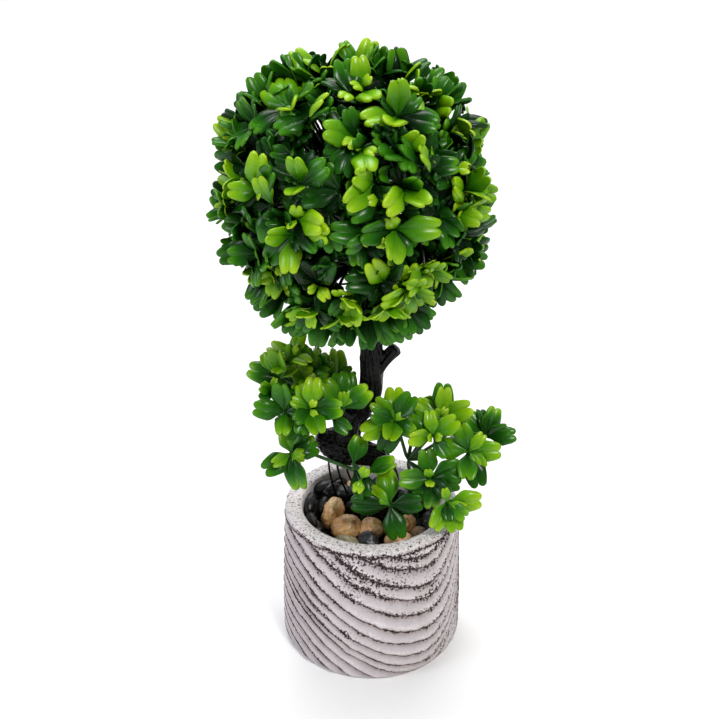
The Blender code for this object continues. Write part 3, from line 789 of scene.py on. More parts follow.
# %% Bark relief
CORD_WIDTH = 1.7
CORD_LENGTH = 26.0
CORD_HEIGHT = 0.95
CORD_TWIST = 40.0
GRAIN_WIDTH = 0.8
GRAIN_LENGTH = 8.0
GRAIN_HEIGHT = 0.34
FOLD_WIDTH = 2.2
FOLD_ROUND = 6.0
FOLD_HEIGHT = 0.8


def bark_height(angle, along, radius, fold, seed):
    """How far the bark stands out at an angle round a limb and a distance along it."""
    round_x = radius * math.cos(angle)
    round_y = radius * math.sin(angle)
    twist = along / CORD_TWIST
    turned_x = round_x * math.cos(twist) - round_y * math.sin(twist)
    turned_y = round_x * math.sin(twist) + round_y * math.cos(twist)
    cords = Vector((turned_x / CORD_WIDTH, turned_y / CORD_WIDTH, along / CORD_LENGTH + seed))
    grain = Vector((turned_x / GRAIN_WIDTH, turned_y / GRAIN_WIDTH, along / GRAIN_LENGTH + seed))
    folds = Vector((round_x / FOLD_ROUND, round_y / FOLD_ROUND, along / FOLD_WIDTH + seed))
    height = CORD_HEIGHT * (0.6 - 2.2 * abs(noise.noise(cords)))
    height += GRAIN_HEIGHT * (0.4 - 1.6 * abs(noise.noise(grain)))
    return height + fold * FOLD_HEIGHT * noise.noise(folds)


# %% Limbs
LIMB_SIDES = 96
RING_STEP = 0.45
LOWER_FOLDS_AT = 58.0
UPPER_FOLDS_AT = 24.0
FOLDS_REACH = 14.0
FEW_FOLDS = 0.15


def bark_limb(outline, seed, fold_at=None):
    """A limb's skin with bark. Folds gather round fold_at, a distance along it in millimetres."""
    route, marks = evenly(smooth_route(outline, 24), RING_STEP)
    places = np.stack([route[:, 0], np.full(len(route), TRUNK_Y), route[:, 1]], axis=1)
    radii = np.repeat(route[:, 2:3], LIMB_SIDES, axis=1)
    for ring, along in enumerate(marks):
        fold = FEW_FOLDS
        if fold_at is not None:
            fold += math.exp(-(((along - fold_at) / FOLDS_REACH) ** 2))
        for side in range(LIMB_SIDES):
            radii[ring, side] += bark_height(side * math.tau / LIMB_SIDES, along, route[ring, 2], fold, seed)
    closing = np.array([0.02, 0.7, 0.93])[:, None]
    radii[:3] *= closing
    radii[-3:] *= closing[::-1]
    return tube(places, radii, LIMB_SIDES)


limbs = [
    bark_limb(LOWER_LIMB, 0.0, LOWER_FOLDS_AT),
    bark_limb(UPPER_LIMB, 7.0, UPPER_FOLDS_AT),
    bark_limb(STUB_BOUGH, 13.0),
]
print("limb rings:", [len(points) // LIMB_SIDES for points, _ in limbs])

# %% [markdown]
# ## Bark finish
# The black is in the plastic. The raised fibres are tinted a little lighter brown, a painted highlight
# along the grain. Moulded bark has a satin gloss, so its wet-looking highlights run along the cords.
# Fibres finer than the mesh are drawn by a noise that is squeezed in height, in colour and in bump.

# %% Bark material
BARK_GRAIN = 0.5
BARK_SQUEEZE = 0.12
BARK_ROUGHNESS = 0.27
BARK_SHEEN = 0.16
POLYETHYLENE_IOR = 1.51

bark, tree, shader = new_material("moulded_polyethylene_bark", "#060505", BARK_ROUGHNESS, POLYETHYLENE_IOR)
shader.inputs["Specular IOR Level"].default_value = BARK_SHEEN
coordinates = add_node(tree, "ShaderNodeTexCoord").outputs["Object"]
squeeze = {"Vector": coordinates, "Scale": (1.0, 1.0, BARK_SQUEEZE)}
stretched = add_node(tree, "ShaderNodeMapping", squeeze).outputs["Vector"]
streaks = {"Vector": stretched, "Scale": 1000 / BARK_GRAIN * NOISE_PATCH, "Detail": 4.0}
fibres = add_node(tree, "ShaderNodeTexNoise", streaks).outputs["Fac"]
# The palest brown, on the raised fibres, is a painted highlight along the grain.
bark_stops = [(0.35, "#010101"), (0.6, "#050404"), (0.8, "#14100D")]
tree.links.new(colour_ramp(tree, fibres, bark_stops), shader.inputs["Base Color"])
bump = add_node(tree, "ShaderNodeBump", {"Height": fibres, "Strength": 0.9, "Distance": 0.9 * MM})
tree.links.new(bump.outputs["Normal"], shader.inputs["Normal"])
print("bark fibres:", BARK_GRAIN, "mm wide,", round(BARK_GRAIN / BARK_SQUEEZE, 1), "mm long")

# %% Trunk
BARK_VOXEL = 0.36

points, faces = join_meshes(limbs)
skin = mesh_piece("trunk_draft", points, faces, [bark])
fuser = skin.modifiers.new("fuse", "REMESH")
fuser.mode = "VOXEL"
fuser.voxel_size = BARK_VOXEL * MM
fused = bpy.data.meshes.new_from_object(skin.evaluated_get(bpy.context.evaluated_depsgraph_get()))
bpy.data.objects.remove(skin, do_unlink=True)
fused.materials.clear()
fused.materials.append(bark)
fused.shade_smooth()
trunk = bpy.data.objects.new("trunk_bark", fused)
bpy.context.scene.collection.objects.link(trunk)
dress(trunk, "trunk_plastic", "trunk_lower", "trunk_upper", "stub_bough")
print("trunk faces:", len(fused.polygons))

# %% [markdown]
# ## Wire stems
# A few stems of the sprigs run down behind the bend as bare plastic-coated wires. They are round,
# so a plain tube along a smooth route is all they need, with ten sides. They are of the trunk's
# plastic, so they take its finish.

# %% Wires
WIRE_RADIUS = 0.55
WIRE_SIDES = 10
KNEE = 4.0
WIRES = [
    ((-22.5, 2.0, 111.0), (-17.5, 16.5, 60.3)),
    ((-19.0, 2.0, 109.0), (-11.5, 20.0, 60.3)),
    ((-15.0, 3.0, 107.5), (-5.0, 18.0, 60.3)),
]


def bowed(start, end, bow, steps):
    """Points from start to end, bowed in the middle."""
    t = np.linspace(0, 1, steps + 1)[:, None]
    start = np.asarray(start, float)
    return start + (np.asarray(end, float) - start) * t + np.asarray(bow, float) * np.sin(math.pi * t)


for index, (top, bottom) in enumerate(WIRES, start=1):
    route = np.vstack([bowed(top, np.add(bottom, (0, 0, KNEE)), (-2, 0, 0), 24), [bottom]])
    points, faces = tube(route, np.full(len(route), WIRE_RADIUS), WIRE_SIDES)
    wire = mesh_piece(f"coated_wire_{index}", points, faces, [bark])
    dress(wire, "trunk_plastic", f"wire_stem_{index}")
print("wires:", len(WIRES))

# %% [markdown]
# ## Leaf plastic: moulded polyethylene
# The leaves are soft polyethylene, moulded in whorls and tinted by dipping: dark green at the root,
# yellow-green at the tip. The rim is paler, partly because the plastic is thinnest there and partly as a
# painted highlight along the rounded edge, and the back is tinted darker as painted shade. A polished
# mould leaves them glossy, and the plastic lets a little light through, which warms the colour inside.
# A gradient texture could tint each leaf, but thousands of leaves share too little texture space.
# So the tint is a ramp of plain materials, ten colours blended into 28 steps too fine to see as bands,
# and the faces of each leaf take theirs row by row. Dark leaves are a little duller than young ones.
# The stems are the same plastic from a duller mould, so their highlights are softer. The ball's stems are
# tinted nearly black, as painted shade inside the ball.

# %% Leaf colours
LEAF_RAMP = ["#041606", "#082906", "#0E3707", "#194E08", "#2A6608"]
LEAF_RAMP += ["#427E08", "#5F9608", "#7EAD0B", "#A2C41E", "#B8D038"]
LEAF_STEPS = 28
LEAF_ROUGHNESS = 0.25
LEAF_SHEEN = (0.16, 0.30)
BLEND_POWER = 0.45

leaf_materials = []
ramp_values = np.array([linear(colour) for colour in LEAF_RAMP]) ** BLEND_POWER
for step in range(LEAF_STEPS):
    at = step / (LEAF_STEPS - 1) * (len(LEAF_RAMP) - 1)
    blend = [np.interp(at, range(len(LEAF_RAMP)), channel) for channel in ramp_values.T]
    name = f"leaf_polyethylene_{step:02d}"
    made, _, shader = new_material(name, LEAF_RAMP[0], LEAF_ROUGHNESS, POLYETHYLENE_IOR)
    shader.inputs["Base Color"].default_value = [value ** (1 / BLEND_POWER) for value in blend]
    shader.inputs["Specular IOR Level"].default_value = np.interp(step, (0, LEAF_STEPS - 1), LEAF_SHEEN)
    leaf_materials.append(made)
stem_green, _, _ = new_material("stem_polyethylene_green", "#24501A", 0.38, POLYETHYLENE_IOR)
# The ball's stems take a nearly black green, painted shade for the inside of the ball.
stem_painted_shade, _, _ = new_material("stem_polyethylene_painted_shade", "#0B1A09", 0.4, POLYETHYLENE_IOR)
print("leaf colours:", len(leaf_materials))

# %% [markdown]
# ## One leaf
# Each leaf has a narrow root and two round lobes with a notch between them, a sunken crease, and a
# domed face. It is a small grid: columns run from edge to edge, closer together at the edges and the
# crease, and rows from root to tip. The lobes' ends follow a quarter ellipse, which gives the notch.
# Top, back and rim make a closed shell. A few forms of it, more or less folded and curled, are enough
# for a plant in which no two leaves seem alike.

# %% Leaf form
LEAF_SHOULDER = 0.30
LEAF_ROOT_WIDTH = 0.12
LEAF_THICKNESS = 0.045
CREASE = 0.28
WIDEST_AT = 0.74
TIP_TAPER = 0.14
# The rim takes the colour near the tip and some steps more, partly for its thin plastic and partly as a
# painted highlight. The back takes as many steps less, a painted shade.
EDGE_TINT = 0.95
RIM_LIGHT_BACK_SHADE_STEPS = 1.6


def leaf_form(rows, lobe_columns, fold, curl, dome, notch):
    """A leaf of unit length and width as (points, faces, tint from 0 at the root to 1, side: steps of
    painted light and shade).
    """
    lobe = 0.5 - 0.5 * np.cos(np.linspace(0, math.pi, lobe_columns + 1))
    across = np.concatenate([-lobe[::-1], lobe[1:]])
    along = np.concatenate([np.linspace(0, 1, rows) ** 0.85 * 0.96, [1.0]])
    s, v = np.meshgrid(across, along)
    off = np.abs(2 * np.abs(s) - 1)
    drop = np.where(np.abs(s) < 0.5, notch, LEAF_SHOULDER)
    tip = 1 - drop * (1 - np.sqrt(1 - off**2))
    opening = np.sin(np.clip(v / WIDEST_AT, 0, 1) * math.pi / 2) ** 1.9
    wide = LEAF_ROOT_WIDTH + (1 - LEAF_ROOT_WIDTH) * opening
    wide *= 1 - TIP_TAPER * np.clip((v - WIDEST_AT) / (1 - WIDEST_AT), 0, 1) ** 1.5
    x = 0.5 * s * wide
    y = v * tip
    opened = np.clip((v - 0.15) / 0.5, 0, 1)
    opened = opened**2 * (3 - 2 * opened) * (1 - 0.7 * v**7)
    inner = np.where(np.abs(s) < 0.5, 1 - CREASE * off**1.6, 1 - off**2.4)
    z = dome * inner * opened + fold * np.abs(x) - curl * y**2
    top = np.stack([x, y, z + 0.5 * LEAF_THICKNESS * (1 - off**4)], axis=2).reshape(-1, 3)
    back = np.stack([x, y, z - LEAF_THICKNESS + 0.25 * LEAF_THICKNESS * off**4], axis=2).reshape(-1, 3)
    count = rows + 1
    columns = len(across)
    faces = grid_faces(count, columns)
    index = np.arange(count * columns).reshape(count, columns)
    loop = np.concatenate([index[0], index[1:, -1], index[-1, -2::-1], index[-2:0:-1, 0]])
    after = np.roll(loop, -1)
    shift = count * columns
    rim_faces = np.stack([loop, loop + shift, after + shift, after], axis=1)
    middle = (along[1:] + along[:-1]) / 2
    tint = np.repeat(middle[:, None], columns - 1, axis=1)
    # On the top, the middles of the domed lobes are tinted a little lighter, a painted highlight, and the
    # crease and the edges darker, painted shade, from a third of the way along.
    lobed = 1 - np.abs(2 * np.abs(across[1:] + across[:-1]) / 2 - 1)
    side = (0.8 * lobed[None, :] - 0.6) * np.clip(3 * middle[:, None] - 0.9, 0, 1)
    tint = np.clip((tint - 0.02) / 0.9, 0, 1)
    tints = np.concatenate([tint.ravel(), tint.ravel(), np.full(len(loop), EDGE_TINT)])
    sides = np.concatenate([side.ravel(), np.full(len(faces), -RIM_LIGHT_BACK_SHADE_STEPS), np.full(len(loop), RIM_LIGHT_BACK_SHADE_STEPS)])
    points = np.vstack([top, back])
    return points, np.vstack([faces, faces[:, ::-1] + shift, rim_faces]), tints, sides


# %% Leaf forms in use
# Each shape has a fold, a curl, a dome and a notch, as parts of the leaf's length.
LEAF_SHAPES = [
    (0.04, 0.08, 0.06, 0.12), (0.22, -0.04, 0.05, 0.16), (0.08, 0.32, 0.07, 0.14), (0.42, -0.06, 0.05, 0.19),
    (-0.06, 0.18, 0.08, 0.12),
]
LEAF_FORMS = [leaf_form(12, 6, *shape) for shape in LEAF_SHAPES]
BUD_FORMS = [leaf_form(6, 4, 0.20, 0.10, 0.10, 0.14), leaf_form(6, 4, 0.0, 0.45, 0.14, 0.20)]
DEEP_FORMS = [leaf_form(5, 3, *shape) for shape in LEAF_SHAPES]
FORMS = LEAF_FORMS + BUD_FORMS + DEEP_FORMS
print("leaf faces:", len(LEAF_FORMS[0][1]), len(BUD_FORMS[0][1]), "and", len(DEEP_FORMS[0][1]))

# %% [markdown]
# ## Leaves into meshes
# A leaf is noted down as a frame, a size, a tone and a form. A tone says where on the ramp a leaf
# starts at its root, how many steps it gains by its tip, and how late along it gains them: a dark leaf
# stays dark, a tipped one turns yellow at the very end and a young one is bright all over. All leaves
# of a mass are then made at once: numpy turns the form's points into each leaf's frame and deals out
# the ramp's colours.

# %% Leaf tones
TONES = {
    "shade": (3.2, 4.0, 1.5),
    "dark": (5.0, 5.5, 2.0),
    "deep": (7.5, 7.0, 1.7),
    "tipped": (7.0, 12.5, 3.2),
    "mid": (9.0, 10.0, 1.4),
    "bright": (11.5, 9.8, 1.1),
    "inner": (13.5, 8.0, 1.0),
    "young": (16.0, 7.0, 0.8),
}
TONE_SPREAD = 1.0
SHAPES = (4, 3, 3, 1, 2)
print("leaf tones:", ", ".join(TONES))


# %% Noting down a leaf
def note_leaf(leaves, root, along, normal, size, tone, chance, shapes=SHAPES, roll=9, deep=False, dim=0):
    """Adds a leaf: it grows from root along a direction, with its face towards normal."""
    length, width = size
    along = along.normalized()
    normal = (normal - along * along.dot(normal)).normalized()
    normal = Matrix.Rotation(math.radians(chance.gauss(0, roll)), 3, along) @ normal
    axes = Matrix((along.cross(normal), along, normal)).transposed()
    if tone == "young":
        form = len(LEAF_FORMS) + chance.randrange(len(BUD_FORMS))
    else:
        form = chance.choices(range(len(LEAF_FORMS)), weights=shapes)[0]
        form += len(LEAF_FORMS + BUD_FORMS) if deep else 0
    start, gain, late = TONES[tone]
    # Painted shade: all but bright, inner and young leaves are tinted this many steps darker.
    start += chance.gauss(0, TONE_SPREAD) - (0 if tone in ("bright", "inner", "young") else dim)
    leaves.append((form, axes, root, length, width, start, gain, late))


# %% Leaves and stems into pieces
STEM_SIDES = 6


def build_leaves(name, leaves):
    """One piece from all the leaves noted down."""
    all_points = []
    all_faces = []
    all_colours = []
    shift = 0
    for form, (points, faces, tints, sides) in enumerate(FORMS):
        group = [leaf for leaf in leaves if leaf[0] == form]
        if not group:
            continue
        axes = np.array([leaf[1] for leaf in group])
        roots = np.array([leaf[2] for leaf in group])
        lengths = np.array([leaf[3] for leaf in group])
        widths = np.array([leaf[4] for leaf in group])
        starts = np.array([leaf[5] for leaf in group])
        gains = np.array([leaf[6] for leaf in group])
        lates = np.array([leaf[7] for leaf in group])
        scaled = points[None] * np.stack([widths, lengths, lengths], axis=1)[:, None, :]
        placed = np.einsum("nij,nkj->nki", axes, scaled) + roots[:, None, :]
        steps = np.arange(len(group)) * len(points) + shift
        # sides adds each face's steps of painted light and shade.
        colours = starts[:, None] + gains[:, None] * tints[None] ** lates[:, None] + sides[None]
        colours = np.clip(np.round(colours), 0, LEAF_STEPS - 1)
        all_points.append(placed.reshape(-1, 3))
        all_faces.append((faces[None] + steps[:, None, None]).reshape(-1, 4))
        all_colours.append(colours.ravel())
        shift += len(group) * len(points)
    piece = mesh_piece(
        name, np.vstack(all_points), np.vstack(all_faces), leaf_materials, np.concatenate(all_colours)
    )
    print(name, len(leaves), "leaves,", 2 * len(piece.data.polygons), "triangles")
    return piece


def build_stems(name, routes, colour):
    """One piece from (points, thick, thin) stems, each tapering along its points."""
    tubes = []
    for points, thick, thin in routes:
        radii = np.linspace(thick, thin, len(points))
        radii[0] *= 0.1
        radii[-1] *= 0.1
        tubes.append(tube(points, radii, STEM_SIDES))
    points, faces = join_meshes(tubes)
    piece = mesh_piece(name, points, faces, [colour])
    print(name, len(routes), "stems,", 2 * len(faces), "triangles")
    return piece


# %% [markdown]
# ## Sprays
# Low sprays of the same sprigs are plugged in beside the trunk. Each is a green stem that forks into
# twigs, and each twig ends in a whorl: two or more crossed pairs of leaves with a pair of young ones
# in the middle. The stems and whorls stand where the frame's sprays have theirs. A leaf is set by the
# clock angle it points to as seen by someone facing the whorl (0 is right, 90 is up), how far it opens
# from the whorl's axis, its length and its tone.

# %% Spray helpers
LEAF_SLIMNESS = 0.70
SLIMNESS = {"young": 0.95, "inner": 0.6}
LEAF_WIDEST = 11.8
print("leaves are", LEAF_SLIMNESS, "as wide as long, and at most", LEAF_WIDEST, "mm wide")


def facing(azimuth, elevation):
    """The direction at an azimuth from the front, -Y, towards +X, and an elevation, in degrees."""
    turn = math.radians(azimuth)
    rise = math.radians(elevation)
    return Vector((math.sin(turn) * math.cos(rise), -math.cos(turn) * math.cos(rise), math.sin(rise)))


def clock_axes(axis):
    """The directions of 0 and of 90 degrees on the clock of a whorl with this axis."""
    side = Vector((0, 0, 1)).cross(axis).normalized() if abs(axis.z) < 0.99 else Vector((1, 0, 0))
    return side, axis.cross(side)


def whorl(leaves, place, axis, plan, chance, widest=LEAF_WIDEST, **choices):
    """Notes down a whorl's leaves from its plan, a list of (clock, spread, length, tone)."""
    side, over = clock_axes(axis)
    for order, (clock, spread, length, tone) in enumerate(plan):
        angle = math.radians(clock)
        open_angle = math.radians(spread)
        out = math.cos(angle) * side + math.sin(angle) * over
        along = math.cos(open_angle) * axis + math.sin(open_angle) * out
        normal = math.sin(open_angle) * axis - math.cos(open_angle) * out
        sunk = 0.0 if tone in SLIMNESS else 1.0 + 0.35 * (order % 4)
        width = min(widest, length * SLIMNESS.get(tone, LEAF_SLIMNESS))
        root = place + out * 0.3 - axis * sunk
        note_leaf(leaves, root, along, normal, (length, width), tone, chance, **choices)


def twig_route(start, tip, axis, steps=7):
    """A twig that leaves start and bends to reach tip along the axis."""
    bend = (tip - start).length * 0.3
    return smooth_route([start, tip - axis * bend, tip], steps)


# %% Growing a spray
SPRAY_STEM = (1.5, 1.0)
SPRAY_TWIG = (1.0, 0.75)
STEM_BOW = 2.0


def grow_spray(name, foot, fork, whorls, node, chance):
    """A spray's leaves and stems, which together replace its node."""
    foot = Vector(foot)
    fork = Vector(fork)
    knee = foot + Vector((0, 0, KNEE))
    bow = Vector((0, 0, STEM_BOW)).cross((fork - knee).normalized())
    stem = np.vstack([[foot], bowed(knee, fork, bow, 12)])
    stems = [(stem, *SPRAY_STEM)]
    leaves = []
    start = fork.lerp(Vector(stem[-2]), 0.3)
    for place, azimuth, elevation, plan in whorls:
        tip = Vector(place)
        axis = facing(azimuth, elevation)
        stems.append((twig_route(start, tip, axis), *SPRAY_TWIG))
        whorl(leaves, tip, axis, plan, chance)
    foliage = build_leaves(name + "_leaves", leaves)
    twigs = build_stems(name + "_stems", stems, stem_green)
    dress(foliage, "foliage", node)
    dress(twigs, "foliage", node)


# %% [markdown]
# ### Leaves placed through the camera
# A set dresser bends a sprig while someone looks through the camera, because only that view shows
# which leaf covers which. So the leaves on the side that is seen are listed by where their tips come
# in the picture, in pixels across and down from its top left. The line of sight through that place
# meets the sphere that the leaf's tip can reach, and so the leaf's clock angle and spread are known.
# Both are rounded to what a hand can set. Leaves that are out of sight are listed by their clock.

# %% Lines of sight
PICTURE_SIDE = 719
PIXEL_FOCUS = round(FOCAL_LENGTH / SENSOR_WIDTH * PICTURE_SIDE)
VIEW = np.array(CAMERA_PLACE)
print("a pixel is", round(np.linalg.norm(VIEW) / PIXEL_FOCUS, 2), "mm wide at the pot's foot")


def line_of_sight(across, down):
    """The direction from the camera through a place in the picture, in pixels from its top left."""
    pitch = math.radians(CAMERA_PITCH)
    yaw = math.radians(CAMERA_YAW)
    right = (across - PICTURE_SIDE / 2) / PIXEL_FOCUS
    up = (PICTURE_SIDE / 2 - down) / PIXEL_FOCUS
    ahead = math.cos(pitch) + up * math.sin(pitch)
    rise = up * math.cos(pitch) - math.sin(pitch)
    turned = (math.cos(yaw) * right - math.sin(yaw) * ahead, math.sin(yaw) * right + math.cos(yaw) * ahead)
    line = np.array([*turned, rise])
    return line / np.linalg.norm(line)


def on_sphere(seen, centre, radius, far=False):
    """Where the line of sight enters a sphere, or leaves it, or else where it comes nearest."""
    line = line_of_sight(*seen)
    from_centre = VIEW - centre
    nearest = -from_centre.dot(line)
    inside = nearest**2 - from_centre.dot(from_centre) + radius**2
    half = math.sqrt(max(inside, 0.0))
    return VIEW + line * (nearest + half if far else nearest - half)


def clock_and_spread(out, axis):
    """The clock angle, spread and length that a leaf has when its tip is out from its root."""
    side, over = clock_axes(axis)
    length = np.linalg.norm(out)
    clock = math.degrees(math.atan2(out.dot(over), out.dot(side))) % 360
    spread = math.degrees(math.acos(out.dot(axis) / length))
    return round(clock), round(spread), round(length * 2) / 2


# %% Whorls placed through the camera
# A leaf that bends away from the camera has its tip on the far side of the sphere.
FAR = True


def seen_whorls(whorls):
    """Whorls by place, azimuth, elevation and plan, from where their roots and tips are seen."""
    made = []
    for (across, down, depth), azimuth, elevation, leaves in whorls:
        line = line_of_sight(across, down)
        place = VIEW + line * ((depth - VIEW[1]) / line[1])
        axis = facing(azimuth, elevation)
        plan = []
        for leaf in leaves:
            if isinstance(leaf[0], tuple):
                seen, length, tone, *far = leaf
                tip = on_sphere(seen, place, length, bool(far))
                leaf = (*clock_and_spread(tip - place, axis), tone)
            plan.append(leaf)
        made.append((place.round(1), azimuth, elevation, plan))
    return made


# %% [markdown]
# ## Right spray
# The right spray stands in the pebbles and leans out over the rim. It is the brightest, because its
# whorls face the light, and its leaves open almost flat. Two whorls at the back fill it from behind.

# %% Right spray
chance = random.Random(21)
RIGHT_FOOT = (24.0, 7.0, 60.3)
RIGHT_FORK = (18.0, -2.0, 104.0)
# A seen whorl has its root's pixels across and down and its depth in millimetres, the azimuth and the
# elevation that it faces, and its leaves. A leaf has its tip's pixels, its length and its tone.
RIGHT_SEEN = [
    ((395, 421, -10), -5, 28, [
        ((395, 387), 15.5, "bright"), ((413, 395), 15, "deep", FAR), ((373, 401), 14, "bright"),
        ((371, 413), 13, "deep"), ((388, 442), 14.5, "bright"), ((362, 434), 16.5, "bright"),
        ((411, 433), 12.5, "tipped"), ((405, 412), 6.5, "young"), ((385, 452), 15, "dark", FAR),
    ]),
    ((441, 417, 2), 8, 32, [
        ((446, 385), 16.5, "deep"), ((417, 401), 14, "bright"), ((472, 406), 15.5, "bright"),
        ((444, 387), 15, "inner"), ((450, 430), 12, "deep"), ((435, 410), 5, "young"),
        ((446, 410), 5, "young"),
    ]),
    ((433, 436, -14), -3, 22, [
        ((414, 413), 14.5, "deep"), ((458, 419), 14.5, "bright"), ((408, 438), 14, "bright"),
        ((430, 413), 12, "inner"), ((448, 456), 12, "deep"), ((429, 439), 5, "young"),
        ((441, 438), 5, "young"),
    ]),
    ((488, 437, 4), 40, 30, [
        ((466, 414), 15.5, "tipped"), ((488, 409), 14, "dark", FAR), ((499, 408), 15, "tipped"),
        ((511, 426), 13.5, "deep"), ((516, 434), 14.5, "deep"), ((462, 421), 12, "dark", FAR),
    ]),
    ((469, 452, -10), 8, 20, [
        ((436, 446), 16.5, "bright"), ((461, 425), 14.5, "mid"), ((502, 452), 15.5, "bright"),
        ((467, 481), 15, "mid"), ((480, 487), 17, "dark", FAR), ((484, 434), 11, "inner"),
        ((480, 467), 8, "inner"), ((486, 469), 8, "bright"),
    ]),
    ((430, 479, -18), -2, 14, [
        ((426, 450), 14, "deep"), ((461, 467), 16, "deep"), ((459, 488), 15, "deep"),
        ((433, 510), 15, "tipped"), ((399, 479), 15.5, "mid"), ((412, 494), 11, "dark"),
        ((428, 470), 5.5, "young"), ((430, 486), 5.5, "young"), ((448, 496), 13, "dark"),
    ]),
    ((448, 503, -27), 14, -2, [
        ((482, 504), 16, "bright"), ((436, 531), 15, "bright"), ((451, 522), 10, "dark"),
        ((458, 534), 15, "bright"), ((467, 519), 12, "mid"), ((445, 489), 8, "inner"),
        ((464, 509), 8.5, "inner"),
    ]),
]
# A whorl out of sight has its place in millimetres, and its leaves have their clock and spread.
RIGHT_BEHIND = [
    ((41.0, 15.0, 112.0), 130, 25, [
        (80, 66, 15, "mid"), (170, 68, 15, "deep"), (260, 66, 14, "deep"), (350, 68, 14, "mid"),
        (120, 38, 7, "young"), (300, 38, 6, "young"),
    ]),
    ((22.0, 14.0, 122.0), 175, 35, [
        (45, 66, 15, "mid"), (135, 66, 15, "bright"), (225, 66, 14, "deep"), (315, 66, 14, "mid"),
        (80, 38, 7, "young"), (260, 38, 6, "young"),
    ]),
]
right_whorls = seen_whorls(RIGHT_SEEN) + RIGHT_BEHIND
grow_spray("right_spray", RIGHT_FOOT, RIGHT_FORK, right_whorls, "right_spray", chance)

# %% [markdown]
# ## Left spray
# The left spray springs from the trunk above the bend. It stands under the ball's shade, so its upper
# whorls take brighter tones to show up, and dark ones hang below and behind to close it.

# %% Left spray
LEFT_FOOT = (-12.0, 3.0, 120.0)
LEFT_FORK = (-27.0, 2.0, 133.0)
LEFT_SEEN = [
    ((281, 378, 0), -25, 32, [
        (127, 57, 15, "bright"), (94, 57, 16, "bright"), ((247, 367), 16.5, "tipped"),
        ((264, 351), 15, "bright", FAR), ((283, 344), 17, "mid", FAR), ((293, 359), 11, "inner"),
        ((297, 367), 9.5, "inner"),
    ]),
    ((284, 412, -12), -8, 22, [
        ((281, 383), 15.5, "deep"), ((254, 410), 15, "deep"), ((264, 405), 10, "bright"),
        ((281, 434), 13, "mid"), ((306, 410), 12, "deep"),
    ]),
    ((272, 391, -6), -20, 30, [
        ((258, 386), 8.5, "mid"), ((259, 399), 8.5, "dark"), ((276, 378), 6.5, "inner"),
        ((263, 383), 6.5, "inner"),
    ]),
    ((310, 409, -17), 2, 24, [
        ((314, 381), 14.5, "bright"), ((343, 408), 16, "tipped"), ((299, 387), 12, "bright"),
        ((292, 400), 10, "bright"), ((319, 435), 14.5, "mid"), ((296, 421), 11, "deep"),
        ((311, 428), 9.5, "bright"), ((300, 435), 13.5, "deep"), ((314, 402), 4.5, "young"),
        ((314, 415), 4.5, "young"),
    ]),
    ((343, 408, -11), 15, 42, [
        ((341, 372), 17, "deep"), ((349, 371), 17.5, "deep"), ((370, 388), 16.5, "tipped"),
        ((337, 375), 16, "mid"), ((326, 381), 16, "mid"), ((342, 392), 8, "inner"),
        ((353, 391), 9, "inner"), ((331, 411), 9, "dark"),
    ]),
    ((306, 374, 6), 0, 40, [
        ((300, 344), 15, "mid"), ((313, 349), 13.5, "bright"), ((321, 351), 14, "tipped"),
        ((332, 359), 15, "mid"), ((327, 378), 12, "mid"), ((303, 385), 8, "bright"),
        ((294, 389), 9, "bright"),
    ]),
    ((336, 384, 8), 30, 40, [
        ((343, 350), 16.5, "bright"), (22, 62, 12, "mid"), ((330, 362), 12, "mid", FAR),
        ((326, 372), 10, "bright"),
    ]),
    ((331, 417, -14), 10, 15, [((350, 432), 11.5, "deep")]),
]
LEFT_BEHIND = [
    ((-27.0, 13.0, 150.0), 120, 30, [
        (66, 50, 13, "bright"), (0, 68, 12, "mid"), (150, 66, 13, "deep"), (270, 60, 12, "deep"),
    ]),
    ((-51.0, 10.0, 136.0), -100, 15, [
        (90, 66, 15, "mid"), (180, 66, 15, "deep"), (270, 66, 14, "mid"), (0, 66, 14, "mid"),
        (45, 38, 7, "young"), (225, 38, 6, "young"),
    ]),
    ((-36.0, 20.0, 142.0), -170, 15, [
        (90, 66, 15, "mid"), (180, 66, 15, "mid"), (270, 66, 14, "deep"), (0, 66, 14, "mid"),
        (45, 38, 7, "young"), (225, 38, 6, "young"),
    ]),
    ((-33.5, -7.0, 129.0), -20, 5, [
        (245, 66, 13, "dark"), (200, 66, 14, "dark"), (90, 60, 13, "dark"), (150, 66, 13, "deep"),
    ]),
    ((-38.4, 3.0, 118.0), -35, 10, [(110, 60, 14, "dark"), (160, 66, 13, "dark"), (215, 60, 12, "dark")]),
    ((-30.0, 6.0, 141.0), 0, 20, [
        (60, 70, 15, "deep"), (130, 70, 15, "mid"), (215, 70, 15, "deep"), (300, 74, 14, "dark"),
        (355, 70, 14, "deep"),
    ]),
    ((-40.0, 8.0, 143.0), -20, 25, [
        (30, 70, 14, "bright"), (100, 70, 15, "bright"), (170, 66, 15, "bright"), (240, 74, 14, "mid"),
        (310, 70, 14, "mid"),
    ]),
    ((-40.0, 6.0, 157.0), -50, 60, [
        (100, 60, 14, "inner"), (190, 66, 14, "bright"), (10, 66, 14, "inner"), (280, 66, 13, "bright"),
        (60, 30, 6.5, "young"), (240, 30, 6, "young"),
    ]),
]
left_whorls = seen_whorls(LEFT_SEEN) + LEFT_BEHIND
grow_spray("left_spray", LEFT_FOOT, LEFT_FORK, left_whorls, "left_spray", chance)

# %% [markdown]
# ## Front spray
# The front spray is low and dark, with one large whorl over the pebbles and a few single leaves up the
# trunk. One long twig carries a whorl out to the left, past the bend.

